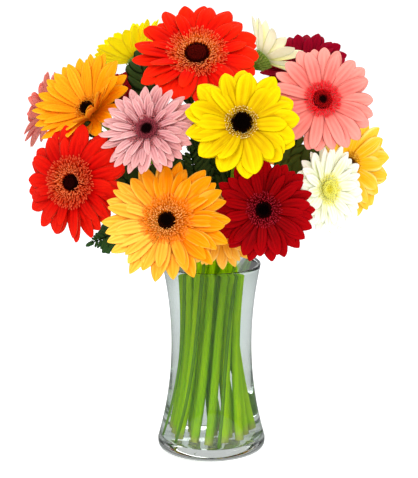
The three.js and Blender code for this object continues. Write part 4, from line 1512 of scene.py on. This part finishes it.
def floor_material(settings):
    """Plain pale floor that reads as white, with a faint glow where it is seen directly. Glass shows
    it dimmer, most of all in reflections, so that the vase stands out from it."""
    material = bpy.data.materials.new("pale_floor")
    tree = Tree(material)
    seen = 1 - tree.met("Diffuse")
    through = tree.ray("Is Transmission Ray") * seen
    shade = tree.mix(through, FLOOR_COLOUR, [FLOOR_THROUGH_GLASS * c for c in FLOOR_COLOUR])
    mirrored = tree.met("Glossy") * seen
    shade = tree.mix(mirrored, shade, [settings.mirrored * c for c in FLOOR_COLOUR])
    pale = tree.node("ShaderNodeBsdfDiffuse", {}, {"Color": shade})
    strength = tree.ray("Is Camera Ray") * settings.floor_glow
    emitted_glow = tree.node("ShaderNodeEmission", {}, {"Strength": strength})
    both = tree.node("ShaderNodeAddShader", {}, {0: pale, 1: emitted_glow})
    tree.node("ShaderNodeOutputMaterial", {}, {"Surface": both})
    return material


def add_floor(settings):
    """A flat square, a hair below the vase's foot."""
    mesh = bpy.data.meshes.new("floor")
    corners = [
        (x * FLOOR_REACH, y * FLOOR_REACH, FLOOR_LEVEL)
        for x, y in ((-1, -1), (1, -1), (1, 1), (-1, 1))
    ]
    mesh.from_pydata(corners, [], [(0, 1, 2, 3)])
    mesh.materials.append(floor_material(settings))
    floor = bpy.data.objects.new("floor", mesh)
    bpy.context.scene.collection.objects.link(floor)


def add_world(settings):
    """White to the eye, a softer white as light, and dimmer where glass shows it."""
    world = bpy.data.worlds.new("white_room")
    bpy.context.scene.world = world
    tree = Tree(world)
    lighting = tree.met("Diffuse")
    strength = (
        tree.ray("Is Camera Ray") * ROOM_WHITE + lighting * settings.sky
        + tree.ray("Is Glossy Ray") * (1 - lighting) * settings.backdrop
    )
    white = tree.node("ShaderNodeBackground", {}, {"Color": (1, 1, 1, 1), "Strength": strength})
    tree.node("ShaderNodeOutputWorld", {}, {"Surface": white})


def add_camera():
    """The camera, level from side to side."""
    camera = bpy.data.objects.new("camera", bpy.data.cameras.new("camera"))
    bpy.context.scene.collection.objects.link(camera)
    camera.data.lens = CAMERA_LENS
    camera.data.sensor_width = SENSOR_WIDTH
    camera.location = CAMERA_AT
    camera.rotation_euler = (math.pi / 2 - CAMERA_DOWN, 0, 0)
    bpy.context.scene.camera = camera


LIGHT_BOUNCES = {
    "max_bounces": 24, "transmission_bounces": 24, "glossy_bounces": 12, "diffuse_bounces": 4,
    "transparent_max_bounces": 32,
}


class BOUQUET_OT_stage(bpy.types.Operator):
    """Adds the floor, the lights, the white room and the camera"""

    bl_idname = "bouquet.stage"
    bl_label = "Stage"

    def execute(self, context):
        settings = context.scene.bouquet
        context.scene.view_settings.view_transform = "Standard"
        for name, most in LIGHT_BOUNCES.items():
            setattr(context.scene.cycles, name, most)
        add_floor(settings)
        add_world(settings)
        add_camera()
        add_light("key_light", (-0.9, -1.7, 1.7), (0, 0, 0.28), 1.3, settings.key_power)
        add_light("back_light", (0.5, 1.3, 1.6), (0, 0, 0.25), 1.0, settings.rim_power)
        add_light(
            "fill_light", (0.5, -2.1, 0.45), (0, 0, 0.22), 1.1, settings.fill_power,
            mirrored=False,
        )
        return {"FINISHED"}


STEPS = (
    BOUQUET_OT_petals, BOUQUET_OT_florets, BOUQUET_OT_stems, BOUQUET_OT_foliage,
    BOUQUET_OT_vase, BOUQUET_OT_water, BOUQUET_OT_stage,
)
SHOWN_SETTINGS = (
    "vein_depth", "petal_glow", "glass_tint", "key_power", "rim_power", "fill_power", "sky",
    "backdrop", "mirrored", "floor_glow",
)


class BOUQUET_PT_panel(bpy.types.Panel):
    """Lists the bouquet's settings and steps"""

    bl_idname = "BOUQUET_PT_panel"
    bl_label = "Gerberas in a Vase"
    bl_space_type = "VIEW_3D"
    bl_region_type = "UI"
    bl_category = "Bouquet"

    def draw(self, context):
        settings = context.scene.bouquet
        for name in SHOWN_SETTINGS:
            self.layout.prop(settings, name)
        for step in STEPS:
            self.layout.operator(step.bl_idname)


CLASSES = (BloomHues, BouquetSettings, *STEPS, BOUQUET_PT_panel)


def register():
    for found in CLASSES:
        bpy.utils.register_class(found)
    bpy.types.Scene.bouquet = bpy.props.PointerProperty(type=BouquetSettings)


def unregister():
    del bpy.types.Scene.bouquet
    for found in reversed(CLASSES):
        bpy.utils.unregister_class(found)


def fill_hues(settings):
    """Gives each bloom its colours."""
    for bloom in BLOOMS:
        hues = settings.hues.add()
        hues.name = bloom.name
        hues.rim = bloom.rim
        hues.emitted_glow = bloom.emitted_glow
        hues.streak = bloom.streak
        hues.merge = bloom.merge
        for key, code in zip(HUE_NAMES, bloom.hues):
            setattr(hues, key, linear(code))


def main():
    register()
    fill_hues(bpy.context.scene.bouquet)
    for step in STEPS:
        group, name = step.bl_idname.split(".")
        getattr(getattr(bpy.ops, group), name)()
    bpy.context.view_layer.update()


if __name__ == "__main__":
    main()
